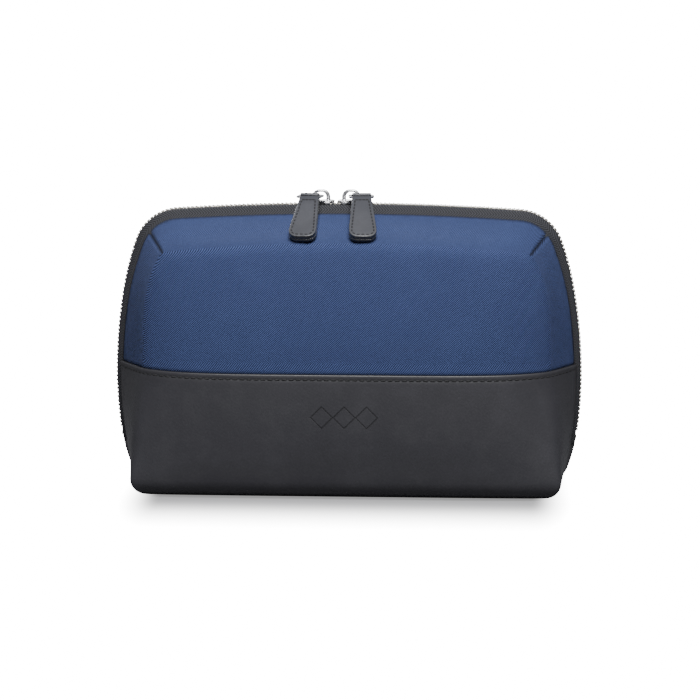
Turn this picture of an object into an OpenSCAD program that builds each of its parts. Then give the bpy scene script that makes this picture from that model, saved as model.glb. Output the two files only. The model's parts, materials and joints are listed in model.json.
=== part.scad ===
// Zip-around shaving kit bag: a padded fabric upper over a leather wrap,
// closed by a metal zip with two sliders that meet near the top centre.
// X runs along the bag, -Y is the front, +Z is up, and the floor is Z = 0.

/* [Body] */
// Height of the zip's centre line above the floor
ridge_h = 165; // [160:1:172]
// Height of the leather wrap's top edge
wrap_h = 73.5; // [68:0.5:80]
// Height of the fold line where each wall turns outwards
fold_h = 28; // [24:1:30]
// Depth of the front face in the middle, from the zip's plane
belly_d = 50; // [46:1:54]
// Depth of the side crease at the level of the base
base_d = 45.5; // [43:0.5:47]
// Depth of the side crease at its top corner
corner_d = 33; // [30:0.5:36]
// Half width of the front face at the wrap's top edge
face_w = 116.5; // [112:0.5:119]
// Half width of the front face at its top corner
corner_w = 105; // [101:0.5:106]
// Height of the top crease in the middle
crease_h = 146.5; // [143:0.5:150]
// Height of the top crease at its two corners
corner_h = 140; // [137:0.5:141]
// Radius of the leather where it turns under the bag
bottom_r = 11; // [9:0.5:14]

/* [Zip line] */
// Radius of the zip's long curve over the top
top_r = 1500; // [1300:50:1800]
// Radius of the zip's turn at each top corner
turn_r = 27; // [25:0.5:29]
// Radius of the zip's curve under the turn
shoulder_r = 170; // [160:5:185]
// Radius of the zip's curve down each side
side_r = 290; // [270:5:310]
// Radius of the tuck from the widest point to the floor
tuck_r = 230; // [210:5:250]

/* [Layers] */
// How far the leather stands proud of the fabric
proud_t = 0.7; // [0.4:0.1:1]
// Thickness of the outer fabric
skin_t = 1; // [0.8:0.1:1.2]
// Thickness of the foam padding
foam_t = 2.4; // [2:0.1:3]
// Thickness of the lining
lining_t = 0.6; // [0.4:0.1:0.8]
// Thickness of the board in the base
board_t = 1.8; // [1.2:0.1:2.4]

/* [Zip] */
// Distance between two teeth of one row
tooth_pitch = 2.5; // [2.4:0.05:2.8]
// Thickness of a tooth along the zip
tooth_t = 1.05; // [0.8:0.05:1.1]
// Thickness of the zip tape
tape_t = 0.8; // [0.6:0.1:0.9]
// Depth of the seam where the tape meets the fabric, from the zip's plane
tape_d = 8; // [7:0.5:9]
// Drop of that seam below the zip's centre line
tape_drop = 4.5; // [4:0.5:5]
// Length of a slider
slider_l = 13.5; // [12.5:0.5:14.5]
// Place along the zip where the two sliders meet
meet_x = -7; // [-20:1:20]

/* [Pulls] */
// Width of a pull at its top
pull_w = 11; // [9:0.5:11]
// Widest width of a pull
pull_wide = 15.6; // [13:0.2:17]
// Length of a pull below the ring's front bar
pull_l = 35; // [30:1:36]
// Slope of a resting pull below the horizontal
pull_slope = 36; // [34:0.5:38]
// Sideways turn of the left pull
left_turn = -9; // [-10:1:0]
// Sideways turn of the right pull
right_turn = 4; // [0:1:8]

/* [Hidden] */

NAVY = [0.2, 0.26, 0.44];
LEATHER = [0.13, 0.13, 0.14];
SILVER = [0.78, 0.78, 0.76];
GREY = [0.45, 0.46, 0.48];

// Tangent angle of the zip line at the start of each arc, from the top centre down
ARC_A = [0, 3.8, 70, 79, 90, 116];
ARC_R = [top_r, turn_r, shoulder_r, side_r, tuck_r];
// Tangent angle at which the dart meets the tape's seam
dart_a = 37;

function arc_centre(k) = k == 0
    ? [0, ridge_h - ARC_R[0]]
    : arc_centre(k - 1) + (ARC_R[k - 1] - ARC_R[k]) * [sin(ARC_A[k]), cos(ARC_A[k])];
ARC_C = [for (k = [0:4]) arc_centre(k)];

// Angle and arc of the zip line, moved inwards by d, at the height z of a side
function side_arc(z, d, k = 1) =
    let (c = (z - ARC_C[k][1]) / (ARC_R[k] - d))
    k < 4 && c < cos(ARC_A[k + 1]) ? side_arc(z, d, k + 1) : [acos(c), k];
// The same at the distance x from the middle of the top
function top_arc(x, d, k = 0) =
    let (s = (x - ARC_C[k][0]) / (ARC_R[k] - d))
    k < 2 && s > sin(ARC_A[k + 1]) ? top_arc(x, d, k + 1) : [asin(s), k];
// Point [x, z] of the zip line, moved inwards by d, at an angle and arc
function arc_point(arc, d) = ARC_C[arc[1]] + (ARC_R[arc[1]] - d) * [sin(arc[0]), cos(arc[0])];
// Angle and arc of the zip line at the length q from the top centre
function length_arc(q, k = 0, done = 0) =
    let (len = ARC_R[k] * (ARC_A[k + 1] - ARC_A[k]) * PI / 180)
    k < 4 && q > done + len
        ? length_arc(q, k + 1, done + len)
        : [ARC_A[k] + (q - done) / ARC_R[k] * 180 / PI, k];

dart_x = arc_point([dart_a, 1], tape_drop)[0];
dart_z = arc_point([dart_a, 1], tape_drop)[1];

// Shape of the front face
function crease_w(z) = z < wrap_h
    ? face_w + 6.5 * (1 - pow(z / wrap_h, 2.5))
    : face_w - (face_w - corner_w) * pow((z - wrap_h) / (corner_h - wrap_h), 4);
function crease_d(z) = corner_d + (base_d - corner_d) * pow(1 - z / corner_h, 1.8);
belly_z = 45;
function middle_d(z) = z < belly_z
    ? belly_d - 2 * pow(1 - z / belly_z, 2)
    : belly_d - 14 * pow((z - belly_z) / (crease_h - belly_z), 2);
function face_point(s, w_z, z) =
    let (edge = crease_d(w_z))
    [s * crease_w(w_z), -edge - (middle_d(z) - edge) * (1 - pow(abs(s), 2.6)), z];

// Grid of a wall: columns from the left seam over the face to the right seam,
// rows from the fold line to the top crease and over the top bevel to the seam
BEVEL_F = [0, 0.3, 0.6, 0.87, 1];
HALF_S = [0, 0.18, 0.36, 0.54, 0.7, 0.83, 0.92, 0.965, 1];
BAND_Z = [for (f = [0, 0.08, 0.31, 0.54, 0.78, 0.92, 1]) fold_h + f * (wrap_h - fold_h)];
UPPER_T = [0, 0.2, 0.4, 0.6, 0.75, 0.86, 0.93, 1];
nb = 4;
nf = 16;
ni = nf + 2 * nb;
seam_j = 6;
crease_j = seam_j + 7;
top_j = crease_j + nb;

function column_s(i) = i < nb + nf / 2 ? -HALF_S[nf / 2 + nb - i] : HALF_S[i - nb - nf / 2];
function row_t(j) = UPPER_T[j - seam_j];
function blend3(a, b, f) = a + (b - a) * f;
function section_point(i, z) =
    i < nb ? side_point(-1, nb - i, z, z)
    : i > nb + nf ? side_point(1, i - nb - nf, z, z)
    : face_point(column_s(i), z, z);
function side_point(sgn, k, z, seam_z) =
    let (e = arc_point(side_arc(seam_z, tape_drop), tape_drop), c = face_point(sgn, z, z))
    blend3(c, [sgn * e[0], -tape_d, e[1]], BEVEL_F[k]);
function top_point(i, k) =
    let (
        s = column_s(i),
        x = abs(s) * dart_x,
        e = abs(s) == 1 ? [dart_x, dart_z] : arc_point(top_arc(x, tape_drop), tape_drop),
        z = crease_h - (crease_h - corner_h) * pow(abs(s), 2.2)
    )
    blend3(face_point(s, corner_h, z), [sign(s) * e[0], -tape_d, e[1]], BEVEL_F[k]);
function upper_point(i, j) =
    let (
        t = row_t(j),
        z = wrap_h + t * (corner_h - wrap_h),
        seam_z = wrap_h + t * (dart_z - wrap_h)
    )
    i < nb ? side_point(-1, nb - i, z, seam_z)
    : i > nb + nf ? side_point(1, i - nb - nf, z, seam_z)
    : let (
        s = column_s(i),
        top_z = crease_h - (crease_h - corner_h) * pow(abs(s), 2.2)
    ) face_point(s, z, wrap_h + t * (top_z - wrap_h));
function grid_point(i, j) =
    j > crease_j ? top_point(i, j - crease_j)
    : j > seam_j ? upper_point(i, j)
    : section_point(i, BAND_Z[j]);

// Outward direction at each place of the grid
function unit(v) = v / norm(v);
function flat_normal(t) = unit([t[1], -t[0], 0]);
function faced(n, ref) = n * ref < 0 ? -n : n;
function grid_normal(i, j) =
    i > ni / 2 ? let (n = grid_normal(ni - i, j)) [-n[0], n[1], n[2]]
    : j < crease_j ? flat_normal(grid_point(i + 1, j) - grid_point(max(i - 1, 0), j))
    : i < nb ? dart_normal(nb - i)
    : i == nb ? (j == crease_j ? unit([-0.42, -0.84, 0.4]) : dart_normal(j - crease_j))
    : faced(unit(cross(
        grid_point(i + 1, j) - grid_point(i - 1, j),
        grid_point(i, min(j + 1, top_j)) - grid_point(i, j - 1)
    )), [0, -1, 1]);
function dart_normal(k) = faced(unit(cross(
    top_point(nb, min(k + 1, nb)) - top_point(nb, k - 1),
    top_point(nb + 1, k) - grid_point(nb - k, crease_j - 1)
)), [-1, -1, 1]);
GRID = [for (j = [0:top_j]) [for (i = [0:ni])
    j > crease_j && (i < nb || i > nb + nf) ? [0, 0, 0] : grid_point(i, j)]];
NORMALS = [for (j = [0:top_j]) [for (i = [0:ni])
    j > crease_j && (i < nb || i > nb + nf) ? [0, 0, 1] : grid_normal(i, j)]];
function layer_point(i, j, t) = GRID[j][i] - t * NORMALS[j][i];

// Triangles that close a sheet of corners between its outer and inner copies
function sheet_faces(quads, loop, count) = concat(
    [for (q = quads) each [[q[0], q[3], q[2]], [q[0], q[2], q[1]]]],
    [for (q = quads) each [
        [q[0] + count, q[2] + count, q[3] + count],
        [q[0] + count, q[1] + count, q[2] + count]
    ]],
    [for (a = [0:len(loop) - 1]) let (p = loop[a], q = loop[(a + 1) % len(loop)])
        each [[p, q, q + count], [p, q + count, p + count]]]
);

// A layer over the columns i0 to i1 and the rows j0 to j1, none past the top crease
module band_layer(i0, i1, j0, j1, t_out, t_in) {
    w = i1 - i0 + 1;
    count = w * (j1 - j0 + 1);
    quads = [for (j = [0:j1 - j0 - 1]) for (i = [0:w - 2])
        [j * w + i, j * w + i + 1, (j + 1) * w + i + 1, (j + 1) * w + i]];
    loop = concat(
        [for (i = [0:w - 1]) i],
        [for (j = [1:j1 - j0]) j * w + w - 1],
        [for (i = [w - 2:-1:0]) (j1 - j0) * w + i],
        [for (j = [j1 - j0 - 1:-1:1]) j * w]
    );
    points = [for (t = [t_out, t_in]) for (j = [j0:j1]) for (i = [i0:i1]) layer_point(i, j, t)];
    polyhedron(points, sheet_faces(quads, loop, count));
}

// A layer from the row j0 over the top bevel, with e bevel columns left off at the seam
module upper_layer(j0, e, t_out, t_in) {
    w = ni - 2 * e + 1;
    base = (crease_j - j0 + 1) * w;
    tops = nb - e;
    count = base + tops * (nf - 1);
    function id(i, j) =
        j <= crease_j ? (j - j0) * w + i - e
        : i == nb ? id(nb - (j - crease_j), crease_j)
        : i == nb + nf ? id(nb + nf + (j - crease_j), crease_j)
        : base + (j - crease_j - 1) * (nf - 1) + i - nb - 1;
    places = concat(
        [for (j = [j0:crease_j]) for (i = [e:ni - e]) [i, j]],
        [for (j = [crease_j + 1:crease_j + tops]) for (i = [nb + 1:nb + nf - 1]) [i, j]]
    );
    quads = concat(
        [for (j = [j0:crease_j - 1]) for (i = [e:ni - e - 1])
            [id(i, j), id(i + 1, j), id(i + 1, j + 1), id(i, j + 1)]],
        [for (j = [crease_j:crease_j + tops - 1]) for (i = [nb:nb + nf - 1])
            [id(i, j), id(i + 1, j), id(i + 1, j + 1), id(i, j + 1)]]
    );
    loop = concat(
        [for (i = [e:ni - e]) id(i, j0)],
        [for (j = [j0 + 1:crease_j]) id(ni - e, j)],
        [for (i = [nb + nf - 1:-1:nb + 1]) id(i, crease_j + tops)],
        [for (j = [crease_j:-1:j0 + 1]) id(e, j)]
    );
    points = [for (t = [t_out, t_in]) for (p = places) layer_point(p[0], p[1], t)];
    polyhedron(points, sheet_faces(quads, loop, count));
}

// Places of the grid along the seam, from the left end of the zip to the right,
// with k columns back from the seam
function seam_places(k) = concat(
    [for (j = [1:crease_j]) [k, j]],
    [for (i = [nb + 1:nb + nf - 1]) [i, top_j - k]],
    [for (j = [crease_j:-1:1]) [ni - k, j]]
);
// Angle and arc of the zip line next to each of those places, and its side
function place_arc(p) = let (g = GRID[p[1]][p[0]], s = sign(g[0])) [
    p[1] > crease_j ? top_arc(abs(g[0]), tape_drop) : side_arc(g[2], tape_drop), s];
SEAM = seam_places(0);
BACK = seam_places(1);
function rim_place(n, y, d) =
    let (a = place_arc(SEAM[n]), p = arc_point(a[0], d))
    [(a[1] == 0 ? 0 : a[1]) * p[0], y, p[1]];

// A closed strip: each station has an outer and an inner run of corners
module strip(stations, h) {
    k = 2 * h;
    n = len(stations);
    points = [for (s = stations) each s];
    walls = [for (a = [0:n - 2]) for (b = [0:k - 1])
        let (p = a * k + b, q = a * k + (b + 1) % k)
        each [[p, q, q + k], [p, q + k, p + k]]];
    caps = [for (b = [0:h - 2]) let (o = b, u = k - 1 - b, m = (n - 1) * k) each [
        [o, u, u - 1], [o, u - 1, o + 1],
        [m + o, m + u - 1, m + u], [m + o, m + o + 1, m + u - 1]
    ]];
    polyhedron(points, concat(walls, caps));
}

tape_y = 4.6;
bead_y = 1.25;
module wall_tape() {
    strip([for (n = [0:len(SEAM) - 1]) let (s = SEAM[n], b = BACK[n]) [
        layer_point(b[0], b[1], skin_t),
        layer_point(s[0], s[1], skin_t),
        rim_place(n, -tape_y, -tape_t / 2),
        rim_place(n, -bead_y, -tape_t / 2),
        rim_place(n, -bead_y, tape_t / 2),
        rim_place(n, -tape_y, tape_t / 2),
        layer_point(s[0], s[1], skin_t + tape_t),
        layer_point(b[0], b[1], skin_t + tape_t)
    ]], 4);
}
wall_t = skin_t + foam_t + lining_t;
module wall_binding() {
    strip([for (n = [0:len(SEAM) - 1]) let (s = SEAM[n], b = BACK[n]) [
        layer_point(b[0], b[1], skin_t + tape_t),
        layer_point(s[0], s[1], skin_t + tape_t),
        layer_point(s[0], s[1], wall_t),
        layer_point(b[0], b[1], wall_t)
    ]], 2);
}

// Teeth: the rows part between the sliders, where the zip is open
part_d = 1.4;
nose_gap = 0.8;
function smooth(f) = let (c = min(max(f, 0), 1)) c * c * (3 - 2 * c);
function parted(q) = part_d * smooth((9 - abs(q - meet_x) + nose_gap) / 6);
module on_zip(q) {
    arc = length_arc(abs(q));
    p = arc_point(arc, 0);
    s = q < 0 ? -1 : 1;
    translate([s * p[0], 0, p[1]]) rotate([0, s * arc[0], 0]) children();
}
tooth_d = 2.9;
head_d = 0.55;
module tooth() {
    rotate([90, 0, 90]) linear_extrude(tooth_t, center = true) polygon([
        [-tooth_d, -1.3], [-0.5, -1.45], [head_d, -0.7],
        [head_d, 0.7], [-0.5, 1.45], [-tooth_d, 1.3]
    ]);
}
zip_end_z = fold_h + 5.5;
zip_half_l = 2 * PI / 360 * (top_r * ARC_A[1] + turn_r * (ARC_A[2] - ARC_A[1])
    + shoulder_r * (ARC_A[3] - ARC_A[2]) + side_r * (ARC_A[4] - ARC_A[3])
    + tuck_r * (side_arc(zip_end_z, 0)[0] - ARC_A[4]));
teeth_n = floor(zip_half_l / tooth_pitch);
module tooth_row(shift) {
    for (a = [-teeth_n:teeth_n - 1]) let (q = (a + shift) * tooth_pitch)
        on_zip(q) translate([0, -parted(q), 0]) tooth();
}

// Stitches along the leather's top edge
stitch_pitch = 4;
stitch_l = 2.8;
module band_stitches() {
    z = wrap_h - 3;
    run = [for (i = [0:ni]) section_point(i, z)];
    for (a = [1:ni]) {
        p = run[a - 1];
        q = run[a];
        n = max(round(norm(q - p) / stitch_pitch), 1);
        for (b = [0:n - 1]) translate(blend3(p, q, (b + 0.5) / n) + proud_t * flat_normal(q - p))
            rotate([0, 0, atan2(q[1] - p[1], q[0] - p[0])])
            cube([stitch_l, 0.6, 0.5], center = true);
    }
}

// Base: a tub whose loop follows the front, the right seam, the rear and the left seam
loop_n = 2 * ni + 4;
// The seam's ridge fades out towards the floor
function seam_inset(z) = 0.9 * tape_drop * (1 - pow(min(z / fold_h, 1), 2));
function loop_point(c, z) =
    c <= ni ? section_point(c, z)
    : c == ni + 1 ? [arc_point(side_arc(z, seam_inset(z)), seam_inset(z))[0], 0, z]
    : c <= 2 * ni + 2 ? let (p = section_point(2 * ni + 2 - c, z)) [p[0], -p[1], z]
    : let (p = loop_point(ni + 1, z)) [-p[0], 0, z];
// The loop, d deep inside the leather's face and drawn in by the turn under the bag
function loop_inset(c, z, d, turn) =
    let (a = loop_point((c + 1) % loop_n, z), b = loop_point((c + loop_n - 1) % loop_n, z),
        p = loop_point(c, z), n = flat_normal(a - b))
    [(p[0] - d * n[0]) * (1 - turn / face_w), (p[1] - d * n[1]) * (1 - turn / base_d), z];
TURN_A = [0, 25, 48, 70, 90];
// Rings of a surface that lies down deep under the outside and in deep beside it
function tub_rings(down, in) = concat(
    [for (a = TURN_A) [
        down + (bottom_r - in) * (1 - cos(a)),
        in - proud_t,
        (bottom_r - in) * (1 - sin(a))
    ]],
    [[fold_h, in - proud_t, 0]]
);
module tub(down, in, thick) {
    outer = tub_rings(down, in);
    inner = tub_rings(down + thick, in + thick);
    rows = len(outer);
    points = [for (rings = [outer, inner]) for (r = rings) for (c = [0:loop_n - 1])
        loop_inset(c, r[0], r[1], r[2])];
    m = rows * loop_n;
    function at(r, c) = r * loop_n + c % loop_n;
    shell = [for (r = [0:rows - 2]) for (c = [0:loop_n - 1]) each [
        [at(r, c), at(r + 1, c), at(r + 1, c + 1)], [at(r, c), at(r + 1, c + 1), at(r, c + 1)],
        [at(r, c) + m, at(r + 1, c + 1) + m, at(r + 1, c) + m],
        [at(r, c) + m, at(r, c + 1) + m, at(r + 1, c + 1) + m]
    ]];
    rim = [for (c = [0:loop_n - 1]) let (p = at(rows - 1, c), q = at(rows - 1, c + 1))
        each [[p, p + m, q + m], [p, q + m, q]]];
    caps = [
        [for (c = [0:loop_n - 1]) c],
        [for (c = [loop_n - 1:-1:0]) c + m]
    ];
    polyhedron(points, concat(shell, rim, caps));
}

leather_t = skin_t + proud_t;
module base_leather() { color(LEATHER) tub(0, 0, leather_t); }
module base_foam() { color(GREY) tub(leather_t, leather_t, foam_t); }
module base_board() {
    z = leather_t + foam_t;
    color([0.6, 0.5, 0.35]) translate([0, 0, z]) linear_extrude(board_t)
        polygon([for (c = [0:loop_n - 1])
            let (p = loop_inset(c, z, z - proud_t, bottom_r - z)) [p[0], p[1]]]);
}
module base_lining() {
    color(GREY) tub(leather_t + foam_t + board_t, leather_t + foam_t + 0.3, lining_t);
}

stop_h = 2.6;
module zip_stop(s) {
    z = fold_h + stop_h / 2;
    x = arc_point(side_arc(z, 0), 0)[0];
    color(SILVER) translate([s * (x - 0.6), 0, z]) cube([3.4, 6.4, stop_h], center = true);
}

// The rear wall is the front wall's mirror image
module facing(rear) { mirror([0, rear ? 1 : 0, 0]) children(); }
module leather_band() { color(LEATHER) band_layer(0, ni, 0, seam_j, -proud_t, skin_t); }
module upper_panel() { color(NAVY) upper_layer(seam_j, 0, 0, skin_t); }
module foam() { color(GREY) upper_layer(0, 1, skin_t, skin_t + foam_t); }
module lining() { color(GREY) upper_layer(0, 1, skin_t + foam_t, wall_t); }
module tape() { color([0.08, 0.08, 0.09]) wall_tape(); }
module binding() { color([0.1, 0.1, 0.12]) wall_binding(); }
module stitching() { color([0.05, 0.05, 0.05]) band_stitches(); }

pocket_t = 0.6;
pocket_i = nb + 3;
module inner_pocket() {
    color(GREY) facing(true) band_layer(pocket_i, ni - pocket_i, 2, seam_j + 2, wall_t, wall_t + pocket_t);
}
module pocket_hem() {
    color([0.1, 0.1, 0.12]) facing(true)
        band_layer(pocket_i, ni - pocket_i, seam_j + 1, seam_j + 2, wall_t + pocket_t, wall_t + 2 * pocket_t);
}

// Slider, with its nose at the origin, its tail along +X and its crown up
plate_z = 1.7;
plate_t = 0.9;
slot_z = 1.3;
nose_w = 5;
tail_w = 3.9;
flange_t = 0.5;
module slider_half_outline(in) {
    polygon([
        [in, 0], [in, 2.2 - in], [2.2 + in / 2, nose_w - in], [5.5, nose_w - in],
        [9, tail_w - in], [slider_l - in * 0.01, tail_w - in], [slider_l - in * 0.01, 0]
    ]);
}
module slider_outline(in) {
    slider_half_outline(in);
    mirror([0, 1, 0]) slider_half_outline(in);
}
module slider_plate() {
    translate([0, 0, plate_z]) linear_extrude(plate_t) slider_outline(0);
    translate([0, 0, slot_z]) linear_extrude(plate_z - slot_z + 0.1) difference() {
        slider_outline(0);
        slider_outline(flange_t);
        translate([-1, -nose_w]) square([3.2, 2 * nose_w]);
        translate([slider_l - 1, -nose_w]) square([2, 2 * nose_w]);
    }
}
module slider_body() {
    slider_plate();
    mirror([0, 0, 1]) slider_plate();
    translate([0, 0, -plate_z - 0.1]) linear_extrude(2 * plate_z + 0.2)
        polygon([[0.3, 0.75], [3.4, 0.75], [5, 0.15], [5, -0.15], [3.4, -0.75], [0.3, -0.75]]);
}
crown_u = 2.9;
crown_l = 10.4;
crown_z = plate_z + plate_t;
crown_h = 5.9;
crown_t = 1.6;
crown_w = 2.4;
module arch(len, high, r) {
    square([len, high - r]);
    translate([r, 0]) square([len - 2 * r, high]);
    for (x = [r, len - r]) translate([x, high - r]) circle(r, $fn = 32);
}
module slider_crown() {
    translate([crown_u, crown_w / 2, crown_z]) rotate([90, 0, 0]) linear_extrude(crown_w)
        difference() {
            arch(crown_l, crown_h, 2.4);
            translate([crown_t, -1]) arch(crown_l - 2 * crown_t, crown_h - crown_t + 1, 1);
        }
}

// Ring: its pivot is at the origin, its front bar towards -Y
wire_r = 0.75;
ring_w = 13.5;
ring_front = 8;
ring_rear = 2.6;
bend_r = 1.8;
module wire(p, q) {
    v = q - p;
    translate(p) rotate([0, acos(v[2] / norm(v)), atan2(v[1], v[0])])
        cylinder(r = wire_r, h = norm(v), $fn = 24);
}
module ring() {
    x = ring_w / 2;
    corners = [[x, ring_rear, 0], [-x, ring_rear, 90], [-x, -ring_front, 180], [x, -ring_front, 270]];
    for (c = corners) translate([c[0] - sign(c[0]) * bend_r, c[1] - sign(c[1]) * bend_r, 0])
        rotate([0, 0, c[2]]) rotate_extrude(angle = 90, $fn = 32)
        translate([bend_r, 0]) circle(wire_r, $fn = 24);
    for (s = [-1, 1]) wire([s * x, bend_r - ring_front, 0], [s * x, ring_rear - bend_r, 0]);
    for (y = [-ring_front, ring_rear]) wire([bend_r - x, y, 0], [x - bend_r, y, 0]);
}

// Pull: the ring's bar is at the origin, the pull runs down towards -Y, its face is up
fold_in = 1.15;
pull_t = 1.5;
core_t = 0.6;
throat_y = 4.5;
tip_r = 5;
module pull_outline(in, start) {
    half = pull_wide / 2 - in;
    tip = pull_l - in;
    r = tip_r - in;
    polygon(concat(
        [[-pull_w / 2 + in, -start], [-half, -(tip - r - 2)]],
        [for (a = [0:15:90]) [-half + r * (1 - cos(a)), -(tip - r) - r * sin(a)]],
        [for (a = [90:-15:0]) [half - r * (1 - cos(a)), -(tip - r) - r * sin(a)]],
        [[half, -(tip - r - 2)], [pull_w / 2 - in, -start]]
    ));
}
module pull_leather() {
    difference() {
        union() {
            rotate([0, 90, 0]) cylinder(r = fold_in + pull_t, h = pull_w, center = true, $fn = 32);
            for (z = [core_t, -core_t - pull_t]) translate([0, 0, z])
                linear_extrude(pull_t) pull_outline(0, 0.9);
        }
        rotate([0, 90, 0]) cylinder(r = fold_in, h = 2 * pull_w, center = true, $fn = 32);
        translate([0, -2.5, 0]) cube([2 * pull_w, 5, 2 * core_t], center = true);
    }
}
module pull_filler() {
    translate([0, 0, -core_t]) linear_extrude(2 * core_t) pull_outline(0.3, throat_y);
}
seam_in = 1.3;
thread_w = 0.5;
thread_l = 1.25;
thread_pitch = 1.8;
module thread(p, a) {
    for (z = [core_t + pull_t + 0.1, -core_t - pull_t - 0.1]) translate([p[0], p[1], z])
        rotate([0, 0, a]) cube([thread_l, thread_w, 0.3], center = true);
}
module pull_stitching() {
    half = pull_wide / 2 - seam_in;
    top = pull_w / 2 - seam_in;
    tip = pull_l - seam_in;
    r = tip_r - seam_in;
    low = tip - r - 2;
    n = round((low - throat_y) / thread_pitch);
    slant = atan2(half - top, low - throat_y);
    for (s = [-1, 1]) {
        for (a = [0:n]) let (f = a / n)
            thread([s * (top + (half - top) * f), -throat_y - (low - throat_y) * f], 90 + s * slant);
        for (a = [20:28:76])
            thread([s * (half - r * (1 - cos(a))), -(tip - r) - r * sin(a)], -s * (90 - a));
    }
    for (x = [-1.5:1.5]) {
        thread([x * thread_pitch * 1.2, -throat_y], 0);
        thread([x * thread_pitch * 0.9, -tip], 0);
    }
}

// Places of the hardware on the zip: s is -1 for the left slider and 1 for the right
pivot_z = 5;
ring_u = crown_u + 4.05 + ring_w / 2;
module at_slider(s) {
    nose = meet_x + s * nose_gap;
    translate([nose, 0, arc_point(top_arc(abs(nose + s * slider_l / 2), 0), 0)[1]])
        mirror([s < 0 ? 1 : 0, 0, 0]) children();
}
module at_ring(s) {
    turn = s < 0 ? left_turn : right_turn;
    nose = meet_x + s * nose_gap;
    z = arc_point(top_arc(abs(nose + s * slider_l / 2), 0), 0)[1] + pivot_z;
    translate([nose + s * ring_u, 0, z]) rotate([0, 0, turn]) children();
}
module at_pull(s) {
    at_ring(s) translate([0, -ring_front, 0]) rotate([pull_slope, 0, 0]) children();
}

base_leather();
base_foam();
base_board();
base_lining();
zip_stop(-1);  // left_zip_stop
zip_stop(1);  // right_zip_stop
facing(false) leather_band();  // front_leather_band
facing(false) upper_panel();  // front_upper_panel
facing(false) foam();  // front_foam
facing(false) lining();  // front_lining
facing(false) tape();  // front_zip_tape
color(SILVER) tooth_row(0);  // front_zip_teeth
facing(false) binding();  // front_seam_binding
facing(false) stitching();  // front_band_stitching
facing(true) leather_band();  // rear_leather_band
facing(true) upper_panel();  // rear_upper_panel
facing(true) foam();  // rear_foam
facing(true) lining();  // rear_lining
facing(true) tape();  // rear_zip_tape
color(SILVER) facing(true) tooth_row(0.5);  // rear_zip_teeth
facing(true) binding();  // rear_seam_binding
facing(true) stitching();  // rear_band_stitching
inner_pocket();
pocket_hem();
color(SILVER) at_slider(-1) slider_body();  // left_slider_body
color(SILVER) at_slider(-1) slider_crown();  // left_slider_crown
color(SILVER) at_ring(-1) ring();  // left_ring
color(LEATHER) at_pull(-1) pull_leather();  // left_pull_leather
color(GREY) at_pull(-1) pull_filler();  // left_pull_filler
color(GREY) at_pull(-1) pull_stitching();  // left_pull_stitching
color(SILVER) at_slider(1) slider_body();  // right_slider_body
color(SILVER) at_slider(1) slider_crown();  // right_slider_crown
color(SILVER) at_ring(1) ring();  // right_ring
color(LEATHER) at_pull(1) pull_leather();  // right_pull_leather
color(GREY) at_pull(1) pull_filler();  // right_pull_filler
color(GREY) at_pull(1) pull_stitching();  // right_pull_stitching
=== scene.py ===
"""Shaving kit bag: the looks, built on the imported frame.

The bag is a padded fabric upper over a leather wrap. A metal zip runs over the top and
down both sides, and its two sliders carry folded leather pulls. Each sub-assembly is a
class that shapes its meshes and dresses them, and each finish is a class of its own.
Lengths are in metres, +X runs along the bag, -Y is its front and +Z is up.
"""

from __future__ import annotations

import json
import logging
import math
from dataclasses import dataclass, field
from enum import Enum
from typing import Callable, Sequence

import bmesh
import bpy
import numpy as np
from mathutils import Matrix, Vector

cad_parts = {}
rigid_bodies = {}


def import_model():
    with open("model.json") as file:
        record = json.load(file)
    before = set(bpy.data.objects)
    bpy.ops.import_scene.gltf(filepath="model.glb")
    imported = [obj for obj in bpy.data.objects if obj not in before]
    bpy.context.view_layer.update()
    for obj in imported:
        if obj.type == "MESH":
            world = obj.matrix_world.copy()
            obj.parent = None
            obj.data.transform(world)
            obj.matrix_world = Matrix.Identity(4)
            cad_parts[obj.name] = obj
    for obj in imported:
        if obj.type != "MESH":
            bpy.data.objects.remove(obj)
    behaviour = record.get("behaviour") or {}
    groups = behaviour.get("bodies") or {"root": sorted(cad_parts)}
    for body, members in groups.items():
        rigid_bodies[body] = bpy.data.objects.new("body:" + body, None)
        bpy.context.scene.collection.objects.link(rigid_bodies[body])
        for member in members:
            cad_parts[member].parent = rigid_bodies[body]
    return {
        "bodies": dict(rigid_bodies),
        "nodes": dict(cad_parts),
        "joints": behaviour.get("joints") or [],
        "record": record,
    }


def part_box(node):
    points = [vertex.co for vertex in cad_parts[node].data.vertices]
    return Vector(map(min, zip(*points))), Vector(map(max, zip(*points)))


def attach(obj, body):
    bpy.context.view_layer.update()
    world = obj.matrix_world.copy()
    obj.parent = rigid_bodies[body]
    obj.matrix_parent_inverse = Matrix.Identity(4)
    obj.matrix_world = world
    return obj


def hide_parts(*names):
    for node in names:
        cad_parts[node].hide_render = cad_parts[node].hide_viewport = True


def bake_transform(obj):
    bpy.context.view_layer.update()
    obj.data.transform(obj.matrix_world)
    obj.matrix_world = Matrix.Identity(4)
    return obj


LOG = logging.getLogger("kit_bag")
MM = 0.001

Point = tuple[float, float, float]


class Side(Enum):
    """The two walls of the bag, with the direction of Y that each faces."""

    FRONT = -1
    REAR = 1

    @property
    def word(self) -> str:
        """The wall's name in the frame's node and body names."""
        return self.name.lower()

    @property
    def body(self) -> str:
        """The frame body that the wall belongs to."""
        return f"{self.word}_wall"


class Zone(Enum):
    """Stretches of a wall that are cut from different materials."""

    UNDER = 0
    WRAP = 1
    UPPER = 2


# ---------------------------------------------------------------- mesh helpers


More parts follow.
